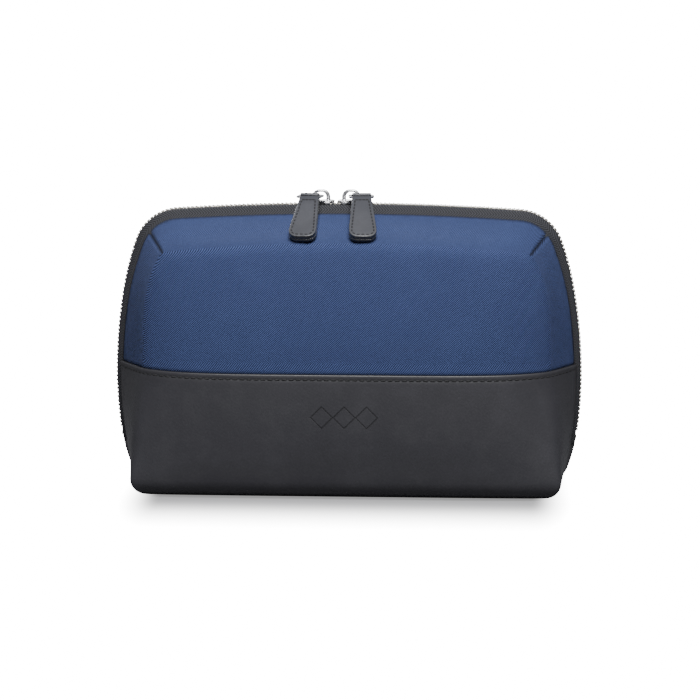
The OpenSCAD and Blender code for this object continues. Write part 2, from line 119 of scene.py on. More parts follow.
def new_mesh(
    name: str,
    points: np.ndarray,
    faces: Sequence[Sequence[int]],
    corner_uv: np.ndarray | None = None,
    smooth: bool = True,
) -> bpy.types.Object:
    """Makes a mesh object from corners and faces.

    Args:
        name: The piece's name.
        points: One row per corner, in metres.
        faces: Corner numbers of each face, turning outwards.
        corner_uv: One row per face corner, in the faces' order, for woven finishes.
        smooth: Whether the faces are shaded smooth.

    Returns:
        The object, linked to the scene.
    """
    mesh = bpy.data.meshes.new(name)
    mesh.from_pydata([tuple(map(float, p)) for p in points], [], [tuple(map(int, f)) for f in faces])
    if corner_uv is not None:
        layer = mesh.uv_layers.new(name="cloth")
        layer.data.foreach_set("uv", np.asarray(corner_uv, np.float32).ravel())
    mesh.validate()
    mesh.polygons.foreach_set("use_smooth", [smooth] * len(mesh.polygons))
    mesh.update()
    obj = bpy.data.objects.new(name, mesh)
    bpy.context.scene.collection.objects.link(obj)
    return obj


def smooth_step(x: np.ndarray | float, low: float, high: float) -> np.ndarray:
    """Rises smoothly from 0 at low to 1 at high."""
    t = np.clip((np.asarray(x, float) - low) / (high - low), 0.0, 1.0)
    return t * t * (3.0 - 2.0 * t)


def unit_rows(v: np.ndarray) -> np.ndarray:
    """Each row scaled to length 1."""
    return v / np.maximum(np.linalg.norm(v, axis=-1, keepdims=True), 1e-12)


def joined(parts: Sequence[tuple[np.ndarray, list]]) -> tuple[np.ndarray, list]:
    """Joins meshes given as corners and faces into one.

    Args:
        parts: Corners and faces of each mesh.

    Returns:
        The corners and faces of them all.
    """
    points, faces, base = [], [], 0
    for p, f in parts:
        points.append(p)
        faces.extend([[i + base for i in face] for face in f])
        base += len(p)
    return np.vstack(points), faces


def swept(
    path: np.ndarray, across: np.ndarray, up: np.ndarray, outline: np.ndarray, closed: bool
) -> tuple[np.ndarray, list]:
    """Sweeps an outline along a path.

    Args:
        path: Stations, one row each.
        across: Direction of the outline's first axis at each station.
        up: Direction of its second axis at each station.
        outline: Corners (a, b) of the outline, either the same all along or one set a station.
        closed: Whether the last station joins the first.

    Returns:
        Corners and faces of the tube.
    """
    n = len(path)
    sets = outline if outline.ndim == 3 else np.repeat(outline[None], n, axis=0)
    k = sets.shape[1]
    points = (
        path[:, None, :]
        + sets[:, :, 0, None] * across[:, None, :]
        + sets[:, :, 1, None] * up[:, None, :]
    ).reshape(-1, 3)
    faces = []
    for a in range(n if closed else n - 1):
        for b in range(k):
            p, q = a * k + b, a * k + (b + 1) % k
            r = ((a + 1) % n) * k
            faces.append([p, q, r + (b + 1) % k, r + b])
    if not closed:
        faces.append(list(range(k))[::-1])
        faces.append([(n - 1) * k + b for b in range(k)])
    return points, faces


def round_outline(width: float, height: float, radius: float, steps: int = 3) -> np.ndarray:
    """Outline of a rectangle with round corners, centred on the origin.

    Args:
        width: Size along the first axis.
        height: Size along the second axis.
        radius: Radius of the corners.
        steps: Steps in each corner.

    Returns:
        Corners (a, b), one row each.
    """
    corners = []
    for cx, cy, start in ((1, 1, 0), (-1, 1, 90), (-1, -1, 180), (1, -1, 270)):
        for s in range(steps + 1):
            a = math.radians(start + 90.0 * s / steps)
            corners.append(
                (
                    cx * (width / 2 - radius) + radius * math.cos(a),
                    cy * (height / 2 - radius) + radius * math.sin(a),
                )
            )
    return np.array(corners)


def bevelled_prism(
    outline: Sequence[tuple[float, float]], low: float, high: float, bevel: float, segments: int = 2
) -> tuple[np.ndarray, list]:
    """A prism over an outline, with every edge rounded.

    Args:
        outline: Corners (x, y), turning anticlockwise.
        low: Height of its lower face.
        high: Height of its upper face.
        bevel: Width of the rounding.
        segments: Steps in the rounding.

    Returns:
        Corners and faces.
    """
    bm = bmesh.new()
    base = bm.faces.new([bm.verts.new((x, y, low)) for x, y in outline])
    lifted = bmesh.ops.extrude_face_region(bm, geom=[base])
    bmesh.ops.translate(
        bm, vec=(0, 0, high - low), verts=[v for v in lifted["geom"] if isinstance(v, bmesh.types.BMVert)]
    )
    bmesh.ops.recalc_face_normals(bm, faces=bm.faces)
    bmesh.ops.bevel(
        bm, geom=list(bm.edges), offset=bevel, segments=segments, profile=0.6, affect="EDGES"
    )
    bm.verts.index_update()
    points = np.array([v.co[:] for v in bm.verts])
    faces = [[v.index for v in f.verts] for f in bm.faces]
    bm.free()
    return points, faces


def moved(part: tuple[np.ndarray, list], matrix: Matrix) -> tuple[np.ndarray, list]:
    """A mesh carried by a matrix; its faces turn round where the matrix mirrors."""
    m = np.array(matrix)
    points = part[0] @ m[:3, :3].T + m[:3, 3]
    flip = np.linalg.det(m[:3, :3]) < 0
    return points, [f[::-1] for f in part[1]] if flip else part[1]


def for_side(side: Side, points: np.ndarray, faces: list) -> tuple[np.ndarray, list]:
    """Fits a mesh made for the front wall to a side.

    Args:
        side: The wall it is for.
        points: Its corners.
        faces: Its faces.

    Returns:
        The corners and faces, mirrored where the wall is the rear one.
    """
    if side is Side.FRONT:
        return points, faces
    return points * np.array([1, -1, 1]), [f[::-1] for f in faces]


# ---------------------------------------------------------------- the bag's form


@dataclass(frozen=True)
class ZipLine:
    """The zip's centre line: arcs that run on from each other, from the top centre down a side."""

    ridge: float = 165 * MM
    radii: tuple[float, ...] = (1500 * MM, 27 * MM, 170 * MM, 290 * MM, 230 * MM)
    angles: tuple[float, ...] = (0.0, 3.8, 70.0, 79.0, 90.0, 116.0)
    centres: list[np.ndarray] = field(init=False, default_factory=list)

    def __post_init__(self) -> None:
        """Works out the centre of each arc from the one before it."""
        self.centres.append(np.array([0.0, self.ridge - self.radii[0]]))
        for k in range(1, len(self.radii)):
            a = math.radians(self.angles[k])
            step = (self.radii[k - 1] - self.radii[k]) * np.array([math.sin(a), math.cos(a)])
            self.centres.append(self.centres[-1] + step)

    def place(self, angle: float, arc: int, inset: float = 0.0) -> np.ndarray:
        """Point (x, z) at an angle of an arc, moved inwards."""
        a = math.radians(angle)
        return self.centres[arc] + (self.radii[arc] - inset) * np.array([math.sin(a), math.cos(a)])

    def at_height(self, z: float, inset: float = 0.0) -> tuple[float, int]:
        """Angle and arc of a side at a height."""
        for k in range(1, len(self.radii)):
            c = (z - self.centres[k][1]) / (self.radii[k] - inset)
            if k == len(self.radii) - 1 or c >= math.cos(math.radians(self.angles[k + 1])):
                return math.degrees(math.acos(max(-1.0, min(1.0, c)))), k
        return 0.0, 1

    def at_offset(self, x: float, inset: float = 0.0) -> tuple[float, int]:
        """Angle and arc of the top at a distance from the middle."""
        for k in range(3):
            s = (x - self.centres[k][0]) / (self.radii[k] - inset)
            if k == 2 or s <= math.sin(math.radians(self.angles[k + 1])):
                return math.degrees(math.asin(max(-1.0, min(1.0, s)))), k
        return 0.0, 0

    def at_length(self, q: float) -> tuple[float, int]:
        """Angle and arc at a length along the line from the top centre."""
        for k, radius in enumerate(self.radii):
            span = radius * math.radians(self.angles[k + 1] - self.angles[k])
            if q <= span or k == len(self.radii) - 1:
                return self.angles[k] + math.degrees(q / radius), k
            q -= span
        return 0.0, 0

    def length_to(self, z: float) -> float:
        """Length of the line from the top centre down to a height of a side."""
        angle, arc = self.at_height(z)
        done = sum(
            self.radii[k] * math.radians(self.angles[k + 1] - self.angles[k]) for k in range(arc)
        )
        return done + self.radii[arc] * math.radians(angle - self.angles[arc])


@dataclass(frozen=True)
class BagForm:
    """Outer shape of one wall, in the plane of the front, with the sizes the frame was built to."""

    line: ZipLine = field(default_factory=ZipLine)
    wrap_top: float = 73.5 * MM
    fold: float = 28 * MM
    belly: float = 50 * MM
    base_depth: float = 45.5 * MM
    corner_depth: float = 33 * MM
    face_half: float = 116.5 * MM
    corner_half: float = 105 * MM
    crease_top: float = 146.5 * MM
    corner_top: float = 140 * MM
    seam_depth: float = 8 * MM
    seam_drop: float = 3.8 * MM
    side_drop: float = 2.8 * MM
    roll: float = 5.5
    turn: float = 11 * MM
    proud: float = 0.7 * MM
    dart_angle: float = 50.0
    base_flare: float = 6.5 * MM
    crease_slack: float = 3.5 * MM
    belly_height: float = 45 * MM
    belly_fall: float = 3.5 * MM
    top_lean: float = 14 * MM

    @property
    def dart_end(self) -> np.ndarray:
        """Where the dart meets the tape's seam, as (x, z)."""
        return self.line.place(self.dart_angle, 1, self.seam_drop)

    def crease_half(self, z: float) -> float:
        """Half width of the face at a height."""
        if z < self.wrap_top:
            return self.face_half + self.base_flare * (1 - (z / self.wrap_top) ** 2.5)
        rise = (z - self.wrap_top) / (self.corner_top - self.wrap_top)
        return self.face_half - (self.face_half - self.corner_half) * rise**4

    def crease_depth(self, z: float) -> float:
        """Depth of the side crease at a height."""
        slack = self.crease_slack * float(smooth_step(z, 20 * MM, 60 * MM))
        rise = max(1 - z / self.corner_top, 0.0) ** 1.8
        return self.corner_depth + (self.base_depth - self.corner_depth) * rise - slack

    def middle_depth(self, z: float) -> float:
        """Depth of the face's middle at a height."""
        low = self.belly_height
        if z < low:
            return self.belly - self.belly_fall * (1 - z / low) ** 2
        return self.belly - self.top_lean * ((z - low) / (self.crease_top - low)) ** 2

    def crease_line(self, s: float) -> float:
        """Height of the top crease across the face, s running from -1 to 1."""
        return self.crease_top - (self.crease_top - self.corner_top) * abs(s) ** 2.2

    def face(self, s: float, width_z: float, z: float) -> np.ndarray:
        """Point of the face at s across it."""
        edge = self.crease_depth(width_z)
        depth = edge + (self.middle_depth(z) - edge) * (1 - abs(s) ** self.roll)
        return np.array([s * self.crease_half(width_z), -depth, z])

    def side(self, sign: int, f: float, z: float, seam_z: float) -> np.ndarray:
        """Point of a side bevel, f running from the crease to the tape's seam."""
        drop = self.side_drop + (self.seam_drop - self.side_drop) * float(smooth_step(seam_z, 0.105, 0.148))
        angle, arc = self.line.at_height(seam_z, drop)
        x, seam_height = self.line.place(angle, arc, drop)
        crease = self.face(sign, z, z)
        seam = np.array([sign * x, -self.seam_depth, seam_height])
        return crease + (seam - crease) * f

    def top(self, s: float, f: float) -> np.ndarray:
        """Point of the top bevel, f running from the crease to the tape's seam."""
        end = self.dart_end
        if abs(s) >= 1.0:
            x, z = end
        else:
            angle, arc = self.line.at_offset(abs(s) * end[0], self.seam_drop)
            x, z = self.line.place(angle, arc, self.seam_drop)
        crease = self.face(s, self.corner_top, self.crease_line(s))
        seam = np.array([math.copysign(x, s), -self.seam_depth, z])
        return crease + (seam - crease) * f

    def upper(self, column: tuple[str, float], t: float) -> np.ndarray:
        """Point of the face or a side bevel, t running from the wrap to the top crease."""
        z = self.wrap_top + t * (self.corner_top - self.wrap_top)
        kind, value = column
        if kind == "face":
            return self.face(value, z, self.wrap_top + t * (self.crease_line(value) - self.wrap_top))
        seam_z = self.wrap_top + t * (self.dart_end[1] - self.wrap_top)
        return self.side(-1 if kind == "left" else 1, value, z, seam_z)

    def section(self, column: tuple[str, float], z: float) -> np.ndarray:
        """Point of the wall at a height below the wrap's top edge."""
        kind, value = column
        if kind == "face":
            return self.face(value, z, z)
        sign = -1 if "left" in kind else 1
        if not kind.startswith("ridge"):
            return self.side(sign, value, z, z)
        seam = self.side(sign, 1.0, z, z)
        inset = 0.5 * MM - 1.6 * MM * float(smooth_step(z, 2 * MM, 25 * MM))
        x = self.line.place(*self.line.at_height(z, inset), inset)[0]
        bend = value * value * (1.5 - 0.5 * value)
        return np.array([seam[0] + (sign * x - seam[0]) * bend, seam[1] * (1 - value), z])

    def turned(self, column: tuple[str, float], z: float, inwards: float, across: float) -> np.ndarray:
        """Point of the turn under the bag, across running from the turn to the middle line."""
        p = self.section(column, z)
        p[0] *= 1 - inwards / self.face_half
        p[1] *= (1 - inwards / self.base_depth) * (1 - across)
        return p


@dataclass
class WallSkin:
    """One wall as a merged sheet of corners, from which each of its layers is cut."""

    form: BagForm
    face_steps: int = 84
    bevel_steps: int = 14
    ridge_steps: int = 5
    points: np.ndarray = field(init=False)
    normals: np.ndarray = field(init=False)
    seam_gap: np.ndarray = field(init=False)
    dart_gap: np.ndarray = field(init=False)
    middle_gap: np.ndarray = field(init=False)
    quads: np.ndarray = field(init=False)
    zones: np.ndarray = field(init=False)
    uv: np.ndarray = field(init=False)
    _rows: dict = field(init=False, default_factory=dict)
    _store: list = field(init=False, default_factory=list)
    _quads: list = field(init=False, default_factory=list)

    def __post_init__(self) -> None:
        """Lays out the patches, joins them, rounds the creases and finds the normals."""
        half = self.face_steps // 2
        spread = 1 - (1 - np.linspace(0, 1, half + 1)) ** 1.35
        self.across = np.concatenate([-spread[:0:-1], spread])
        f = np.linspace(0, 1, self.bevel_steps + 1)
        self.bevel = f + 0.09 * np.sin(2 * np.pi * f)
        self._wrap_patches()
        self._upper_patches()
        self._merge()
        self._round()
        self.normals = self._vertex_normals(self.points)

    def _add(self, grid: np.ndarray, uv: np.ndarray, gaps: np.ndarray, zone: Zone) -> None:
        """Stores a patch, joining it to its neighbours where corners meet.

        Args:
            grid: Rows by columns of corners.
            uv: Where each corner lay on the flat cloth.
            gaps: Distance of each corner from the tape's seam, the dart and the middle line.
            zone: The stretch of the wall that the patch belongs to.
        """
        rows, cols = grid.shape[:2]
        ids = np.empty((rows, cols), int)
        for r in range(rows):
            for c in range(cols):
                mark = tuple(np.round(grid[r, c] * 2e5).astype(int))
                if mark not in self._rows:
                    self._rows[mark] = len(self._store)
                    self._store.append([*grid[r, c], *gaps[r, c]])
                else:
                    kept = self._store[self._rows[mark]]
                    for g in range(3):
                        kept[3 + g] = min(kept[3 + g], gaps[r, c][g])
                ids[r, c] = self._rows[mark]
        for r in range(rows - 1):
            for c in range(cols - 1):
                q = [ids[r, c], ids[r, c + 1], ids[r + 1, c + 1], ids[r + 1, c]]
                if len(set(q)) == 4:
                    w = [uv[r, c], uv[r, c + 1], uv[r + 1, c + 1], uv[r + 1, c]]
                    self._quads.append((q, zone.value, w))

    def _columns(self, ridge: bool) -> list[tuple[str, float]]:
        """Names of the columns from the left seam to the right one."""
        b = self.bevel
        run = [("left", v) for v in b[:0:-1]] + [("face", s) for s in self.across]
        run += [("right", v) for v in b[1:]]
        if not ridge:
            return run
        g = np.linspace(0, 0.97, self.ridge_steps + 1)[1:]
        return [("ridge_left", v) for v in g[::-1]] + run + [("ridge_right", v) for v in g]

    def _laid(self, column: tuple[str, float], p: np.ndarray, crease: np.ndarray) -> tuple[float, float]:
        """Where a point lay on the flat cloth."""
        kind, _ = column
        if kind == "face":
            return p[0], p[2]
        reach = math.hypot(p[0] - crease[0], p[1] - crease[1])
        return crease[0] + math.copysign(reach, crease[0]), p[2]

    def _patch(
        self,
        columns: list[tuple[str, float]],
        rows: Sequence[Callable[[tuple[str, float]], np.ndarray]],
        zone: Zone,
    ) -> None:
        """Stores the patch that the rows' functions make over the columns."""
        grid = np.array([[row(c) for c in columns] for row in rows])
        uv, gaps = np.zeros(grid.shape[:2] + (2,)), np.full(grid.shape, 0.2)
        for r, row in enumerate(rows):
            for i, c in enumerate(columns):
                sign = -1.0 if "left" in c[0] else 1.0
                crease = row(("face", sign))
                uv[r, i] = self._laid(c, grid[r, i], crease)
                if c[0] in ("left", "right"):
                    gaps[r, i, 0] = np.linalg.norm(grid[r, i] - row((c[0], 1.0)))
                    if zone is Zone.UPPER:
                        gaps[r, i, 1] = np.linalg.norm(grid[r, i] - grid[-1, i])
                gaps[r, i, 2] = abs(grid[r, i, 1])
        self._add(grid, uv, gaps, zone)

    def _wrap_patches(self) -> None:
        """The wrap: under the bag, round its turn and up to its top edge."""
        form = self.form
        r, lift = form.turn - form.proud, form.proud
        rows = [
            lambda c, a=a: form.turned(c, lift, r, a) for a in (0.998, 0.75, 0.5, 0.25, 0.1)
        ]
        for a in np.linspace(0, 90, 9):
            z = lift + r * (1 - math.cos(math.radians(a)))
            rows.append(lambda c, z=z, d=r * (1 - math.sin(math.radians(a))): form.turned(c, z, d, 0))

        low = [lambda c, z=z: form.section(c, z) for z in np.linspace(form.turn, form.fold, 5)[1:]]
        self._patch(self._columns(True), rows + low, Zone.UNDER)
        edge = form.wrap_top
        heights = list(np.linspace(form.fold, edge - 6 * MM, 15))
        heights += [edge - d * MM for d in (4.6, 3.8, 3.3, 2.9, 2.5, 2.0, 1.3, 0.8, 0.45, 0.2, 0.0)]
        wrap = [lambda c, z=z: form.section(c, z) for z in heights]
        self._patch(self._columns(False), wrap, Zone.WRAP)

    def _upper_patches(self) -> None:
        """The upper: face, side bevels and top bevel."""
        form = self.form
        span = form.corner_top - form.wrap_top
        near = np.array([0, 0.35, 0.8, 1.4, 2.2, 3.2, 4.6]) * MM / span
        rest = 1 - (1 - np.linspace(0, 1, 27)[1:]) ** 1.25
        steps = np.concatenate([near, near[-1] + rest * (1 - near[-1])])
        rows = [lambda c, t=t: form.upper(c, t) for t in steps]
        self._patch(self._columns(False), rows, Zone.UPPER)
        grid = np.array([[form.top(s, f) for s in self.across] for f in self.bevel])
        uv, gaps = np.zeros(grid.shape[:2] + (2,)), np.full(grid.shape, 0.2)
        for r in range(grid.shape[0]):
            for c in range(grid.shape[1]):
                uv[r, c] = (grid[r, c, 0], grid[0, c, 2] + np.linalg.norm(grid[r, c] - grid[0, c]))
                gaps[r, c, 0] = np.linalg.norm(grid[r, c] - grid[-1, c])
                gaps[r, c, 1] = min(
                    np.linalg.norm(grid[r, c] - grid[r, 0]), np.linalg.norm(grid[r, c] - grid[r, -1])
                )
        self._add(grid, uv, gaps, Zone.UPPER)

    def _merge(self) -> None:
        """Turns what the patches stored into arrays."""
        store = np.array(self._store)
        self.points = store[:, :3]
        self.seam_gap, self.dart_gap, self.middle_gap = store[:, 3], store[:, 4], store[:, 5]
        self.quads = np.array([q for q, _, _ in self._quads])
        self.zones = np.array([z for _, z, _ in self._quads])
        self.uv = np.array([w for _, _, w in self._quads])

    def _edges(self) -> tuple[np.ndarray, np.ndarray]:
        """Every edge once, and how many quads use it."""
        q = self.quads
        pairs = np.vstack([q[:, [0, 1]], q[:, [1, 2]], q[:, [2, 3]], q[:, [3, 0]]])
        return np.unique(np.sort(pairs, axis=1), axis=0, return_counts=True)

    def _round(self, passes: int = 16) -> None:
        """Rounds the creases by drawing each corner towards its neighbours."""
        edges, used = self._edges()
        a, b = edges.T
        count = np.zeros(len(self.points))
        np.add.at(count, a, 1)
        np.add.at(count, b, 1)
        free = np.ones(len(self.points))
        free[np.unique(edges[used == 1])] = 0
        free *= smooth_step(self.seam_gap, 0.5 * MM, 5 * MM)
        free *= smooth_step(self.dart_gap, 0.2 * MM, 4 * MM)
        free *= smooth_step(self.points[:, 2], self.form.turn, self.form.fold)
        near_edge = np.abs(self.points[:, 2] - self.form.wrap_top)
        level = smooth_step(near_edge, 1 * MM, 7 * MM)
        for _ in range(passes):
            total = np.zeros_like(self.points)
            np.add.at(total, a, self.points[b])
            np.add.at(total, b, self.points[a])
            step = (total / count[:, None] - self.points) * 0.55 * free[:, None]
            step[:, 2] *= level
            self.points = self.points + step

    def _vertex_normals(self, points: np.ndarray) -> np.ndarray:
        """Outward direction at each corner."""
        q = points[self.quads]
        n = np.cross(q[:, 2] - q[:, 0], q[:, 3] - q[:, 1])
        out = np.zeros_like(points)
        for k in range(4):
            np.add.at(out, self.quads[:, k], n)
        return unit_rows(out)

    def cut(
        self,
        name: str,
        side: Side,
        wanted: np.ndarray,
        outer: np.ndarray,
        inner: np.ndarray,
        painted_shade: np.ndarray | None = None,
    ) -> bpy.types.Object:
        """Cuts a closed layer out of the wall.

        Args:
            name: The piece's name.
            side: The wall it is for; the rear is the front's mirror image.
            wanted: Which quads it covers.
            outer: Depth of its outer face below the form, at every corner of the wall.
            inner: Depth of its inner face.
            painted_shade: How deep in a seam each corner lies, from 0 to 1, for the shade painted into its
                finish's colour.

        Returns:
            The piece.
        """
        quads, uv = self.quads[wanted], self.uv[wanted]
        used, flat = np.unique(quads, return_inverse=True)
        q = flat.reshape(quads.shape)
        base = self.points[used]
        shell = [base - depth[used, None] * self.normals[used] for depth in (outer, inner)]
        n = len(used)
        pairs = np.vstack([q[:, [0, 1]], q[:, [1, 2]], q[:, [2, 3]], q[:, [3, 0]]])
        corner = np.vstack([uv[:, [0, 1]], uv[:, [1, 2]], uv[:, [2, 3]], uv[:, [3, 0]]])
        _, index, times = np.unique(np.sort(pairs, axis=1), axis=0, return_index=True, return_counts=True)
        rim = index[times == 1]
        walls = np.stack([pairs[rim, 1], pairs[rim, 0], pairs[rim, 0] + n, pairs[rim, 1] + n], axis=1)
        wall_uv = np.stack([corner[rim, 1], corner[rim, 0], corner[rim, 0], corner[rim, 1]], axis=1)
        faces = np.vstack([q, q[:, ::-1] + n, walls])
        spread = np.vstack([uv, uv[:, ::-1], wall_uv])
        points = np.vstack(shell)
        if side is Side.REAR:
            points = points * np.array([1, -1, 1])
            faces, spread = faces[:, ::-1], spread[:, ::-1]
        obj = new_mesh(name, points, faces, spread.reshape(-1, 2))
        if painted_shade is not None:
            # Per-corner amount of shade painted into the finish's colour in seams and grooves.
            values = np.tile(painted_shade[used], 2).astype(np.float32)
            obj.data.attributes.new("painted_shade", "FLOAT", "POINT").data.foreach_set("value", values)
        return obj


# ---------------------------------------------------------------- finishes


class Graph:
    """A node tree with short ways of adding to it."""

    def __init__(self, tree: bpy.types.NodeTree) -> None:
        """Keeps the tree to add to."""
        self.tree = tree

    def feed(self, socket: bpy.types.NodeSocket, value: object) -> None:
        """Links a socket to another, or sets it."""
        if isinstance(value, bpy.types.NodeSocket):
            self.tree.links.new(value, socket)
        else:
            socket.default_value = value

    def node(self, kind: str, **inputs: object) -> bpy.types.Node:
        """Adds a node; keywords with spaces as underscores are its inputs."""
        made = self.tree.nodes.new(kind)
        for name, value in inputs.items():
            self.feed(made.inputs[name.replace("_", " ")], value)
        return made

    def math(self, operation: str, *values: object, clamp: bool = False) -> bpy.types.NodeSocket:
        """Adds a Math node and gives its result."""
        made = self.tree.nodes.new("ShaderNodeMath")
        made.operation = operation
        made.use_clamp = clamp
        for socket, value in zip(made.inputs, values):
            self.feed(socket, value)
        return made.outputs[0]

    def ramp(
        self, value: object, low: float, high: float, a: float = 0, b: float = 1
    ) -> bpy.types.NodeSocket:
        """Maps low..high to a..b smoothly."""
        made = self.node("ShaderNodeMapRange", Value=value, From_Min=low, From_Max=high, To_Min=a, To_Max=b)
        made.interpolation_type = "SMOOTHSTEP"
        return made.outputs[0]

    def noise(
        self, vector: object, scale: float, detail: float = 3, rough: float = 0.55
    ) -> bpy.types.NodeSocket:
        """Adds a noise and gives its value."""
        return self.node(
            "ShaderNodeTexNoise", Vector=vector, Scale=scale, Detail=detail, Roughness=rough
        ).outputs[0]

    def mix(self, factor: object, a: object, b: object) -> bpy.types.NodeSocket:
        """Mixes two colours."""
        made = self.tree.nodes.new("ShaderNodeMix")
        made.data_type = "RGBA"
        for socket, value in ((made.inputs[0], factor), (made.inputs[6], a), (made.inputs[7], b)):
            self.feed(socket, value)
        return made.outputs[2]

    def group(self, tree: bpy.types.NodeTree, **inputs: object) -> bpy.types.Node:
        """Places a node group."""
        made = self.tree.nodes.new("ShaderNodeGroup")
        made.node_tree = tree
        for name, value in inputs.items():
            self.feed(made.inputs[name.replace("_", " ")], value)
        return made


def new_group(
    name: str, inputs: dict[str, float], outputs: Sequence[str]
) -> tuple[bpy.types.NodeTree, Graph, bpy.types.Node, bpy.types.Node]:
    """Starts a shader node group.

    Args:
        name: The group's name.
        inputs: Its number inputs and their first values.
        outputs: Its number outputs.

    Returns:
        The tree, its graph, and its input and output nodes.
    """
    tree = bpy.data.node_groups.new(name, "ShaderNodeTree")
    for key, value in inputs.items():
        tree.interface.new_socket(key, in_out="INPUT", socket_type="NodeSocketFloat").default_value = value
    for key in outputs:
        tree.interface.new_socket(key, in_out="OUTPUT", socket_type="NodeSocketFloat")
    graph = Graph(tree)
    return tree, graph, tree.nodes.new("NodeGroupInput"), tree.nodes.new("NodeGroupOutput")


def twill_group() -> bpy.types.NodeTree:
    """Slanting ribs of a twill on the cloth's own flat coordinates."""
    tree, g, inp, out = new_group("twill_weave", {"Pitch": 0.0012, "Slub": 0.25}, ["Height", "Shade"])
    uv = tree.nodes.new("ShaderNodeUVMap")
    uv.uv_map = "cloth"
    split = g.node("ShaderNodeSeparateXYZ", Vector=uv.outputs[0])
    u, v = split.outputs[0], split.outputs[1]
    slub = g.math("MULTIPLY", g.noise(uv.outputs[0], 700, 2), inp.outputs["Slub"])
    turn = g.math("DIVIDE", g.math("SUBTRACT", v, g.math("MULTIPLY", u, 0.9)), inp.outputs["Pitch"])
    rib = g.math("SINE", g.math("MULTIPLY", g.math("ADD", turn, g.math("MULTIPLY", slub, 1.6)), math.tau))
    step = g.math("DIVIDE", g.math("ADD", u, g.math("MULTIPLY", v, 0.25)), inp.outputs["Pitch"])
    yarn = g.math("SINE", g.math("MULTIPLY", step, 2 * math.tau))
    height = g.math("ADD", g.math("MULTIPLY", rib, 0.38), g.math("MULTIPLY", yarn, 0.12))
    height = g.math("ADD", height, 0.5)
    broad = g.noise(uv.outputs[0], 1500, 3, 0.6)
    shade = g.math("ADD", g.math("MULTIPLY", height, 1.15), g.math("MULTIPLY", broad, 0.3))
    g.feed(out.inputs["Height"], height)
    g.feed(out.inputs["Shade"], g.math("SUBTRACT", shade, 0.2, clamp=True))
    return tree


def grain_group() -> bpy.types.NodeTree:
    """Pebbled leather grain with pores and a soft mottle."""
    tree, g, inp, out = new_group("leather_grain", {"Size": 0.0011}, ["Height", "Mottle"])
    place = tree.nodes.new("ShaderNodeTexCoord").outputs["Object"]
    scale = g.math("DIVIDE", 1.0, inp.outputs["Size"])
    cell = g.node("ShaderNodeTexVoronoi", Vector=place, Scale=scale)
    pebble = g.math("SUBTRACT", 1.0, g.math("POWER", cell.outputs["Distance"], 1.6))
    fine = g.node("ShaderNodeTexNoise", Vector=place, Scale=g.math("MULTIPLY", scale, 1.7), Detail=4.0)
    g.feed(
        out.inputs["Height"],
        g.math("ADD", g.math("MULTIPLY", pebble, 0.6), g.math("MULTIPLY", fine.outputs[0], 0.4)),
    )
    g.feed(out.inputs["Mottle"], g.noise(place, 38, 5, 0.6))
    return tree


def herringbone_group() -> bpy.types.NodeTree:
    """Herringbone ribs along a zip tape."""
    tree, g, inp, out = new_group("tape_herringbone", {"Pitch": 0.0016, "Width": 0.0026}, ["Height"])
    uv = tree.nodes.new("ShaderNodeUVMap")
    uv.uv_map = "cloth"
    split = g.node("ShaderNodeSeparateXYZ", Vector=uv.outputs[0])
    fold = g.math("PINGPONG", split.outputs[1], inp.outputs["Width"])
    turn = g.math("DIVIDE", g.math("ADD", split.outputs[0], fold), inp.outputs["Pitch"])
    rib = g.math("SINE", g.math("MULTIPLY", turn, math.tau))
    g.feed(out.inputs["Height"], g.math("ADD", g.math("MULTIPLY", rib, 0.5), 0.5))
    return tree


def wear_group() -> bpy.types.NodeTree:
    """Handling marks: faint scuffs and smudges."""
    tree, g, inp, out = new_group("handling_wear", {"Amount": 0.5}, ["Mask"])
    place = tree.nodes.new("ShaderNodeTexCoord").outputs["Object"]
    smudge = g.ramp(g.noise(place, 60, 4, 0.65), 0.42, 0.72)
    fine = g.ramp(g.noise(place, 900, 3, 0.6), 0.4, 0.75)
    mixed = g.math("ADD", g.math("MULTIPLY", smudge, 0.6), g.math("MULTIPLY", fine, 0.4))
    g.feed(out.inputs["Mask"], g.math("MULTIPLY", mixed, inp.outputs["Amount"]))
    return tree


def mark_group() -> bpy.types.NodeTree:
    """Plain pressed ornament: three outlined diamonds in a row."""
    tree, g, inp, out = new_group("pressed_diamonds", {"Centre": 0.049, "Half Width": 0.0062}, ["Mask"])
    place = tree.nodes.new("ShaderNodeTexCoord").outputs["Object"]
    split = g.node("ShaderNodeSeparateXYZ", Vector=place)
    across = g.math("ABSOLUTE", split.outputs[0])
    across = g.math("MINIMUM", across, g.math("ABSOLUTE", g.math("SUBTRACT", across, 0.0128)))
    up = g.math("ABSOLUTE", g.math("SUBTRACT", split.outputs[2], inp.outputs["Centre"]))
    reach = g.math("ABSOLUTE", g.math("SUBTRACT", g.math("ADD", across, up), inp.outputs["Half Width"]))
    g.feed(out.inputs["Mask"], g.ramp(reach, 0.00025, 0.0006, 1, 0))
    return tree


class Effects:
    """The shared node groups, each built once."""

    def __init__(self) -> None:
        """Builds the groups."""
        self.twill = twill_group()
        self.grain = grain_group()
        self.herringbone = herringbone_group()
        self.wear = wear_group()
        self.mark = mark_group()


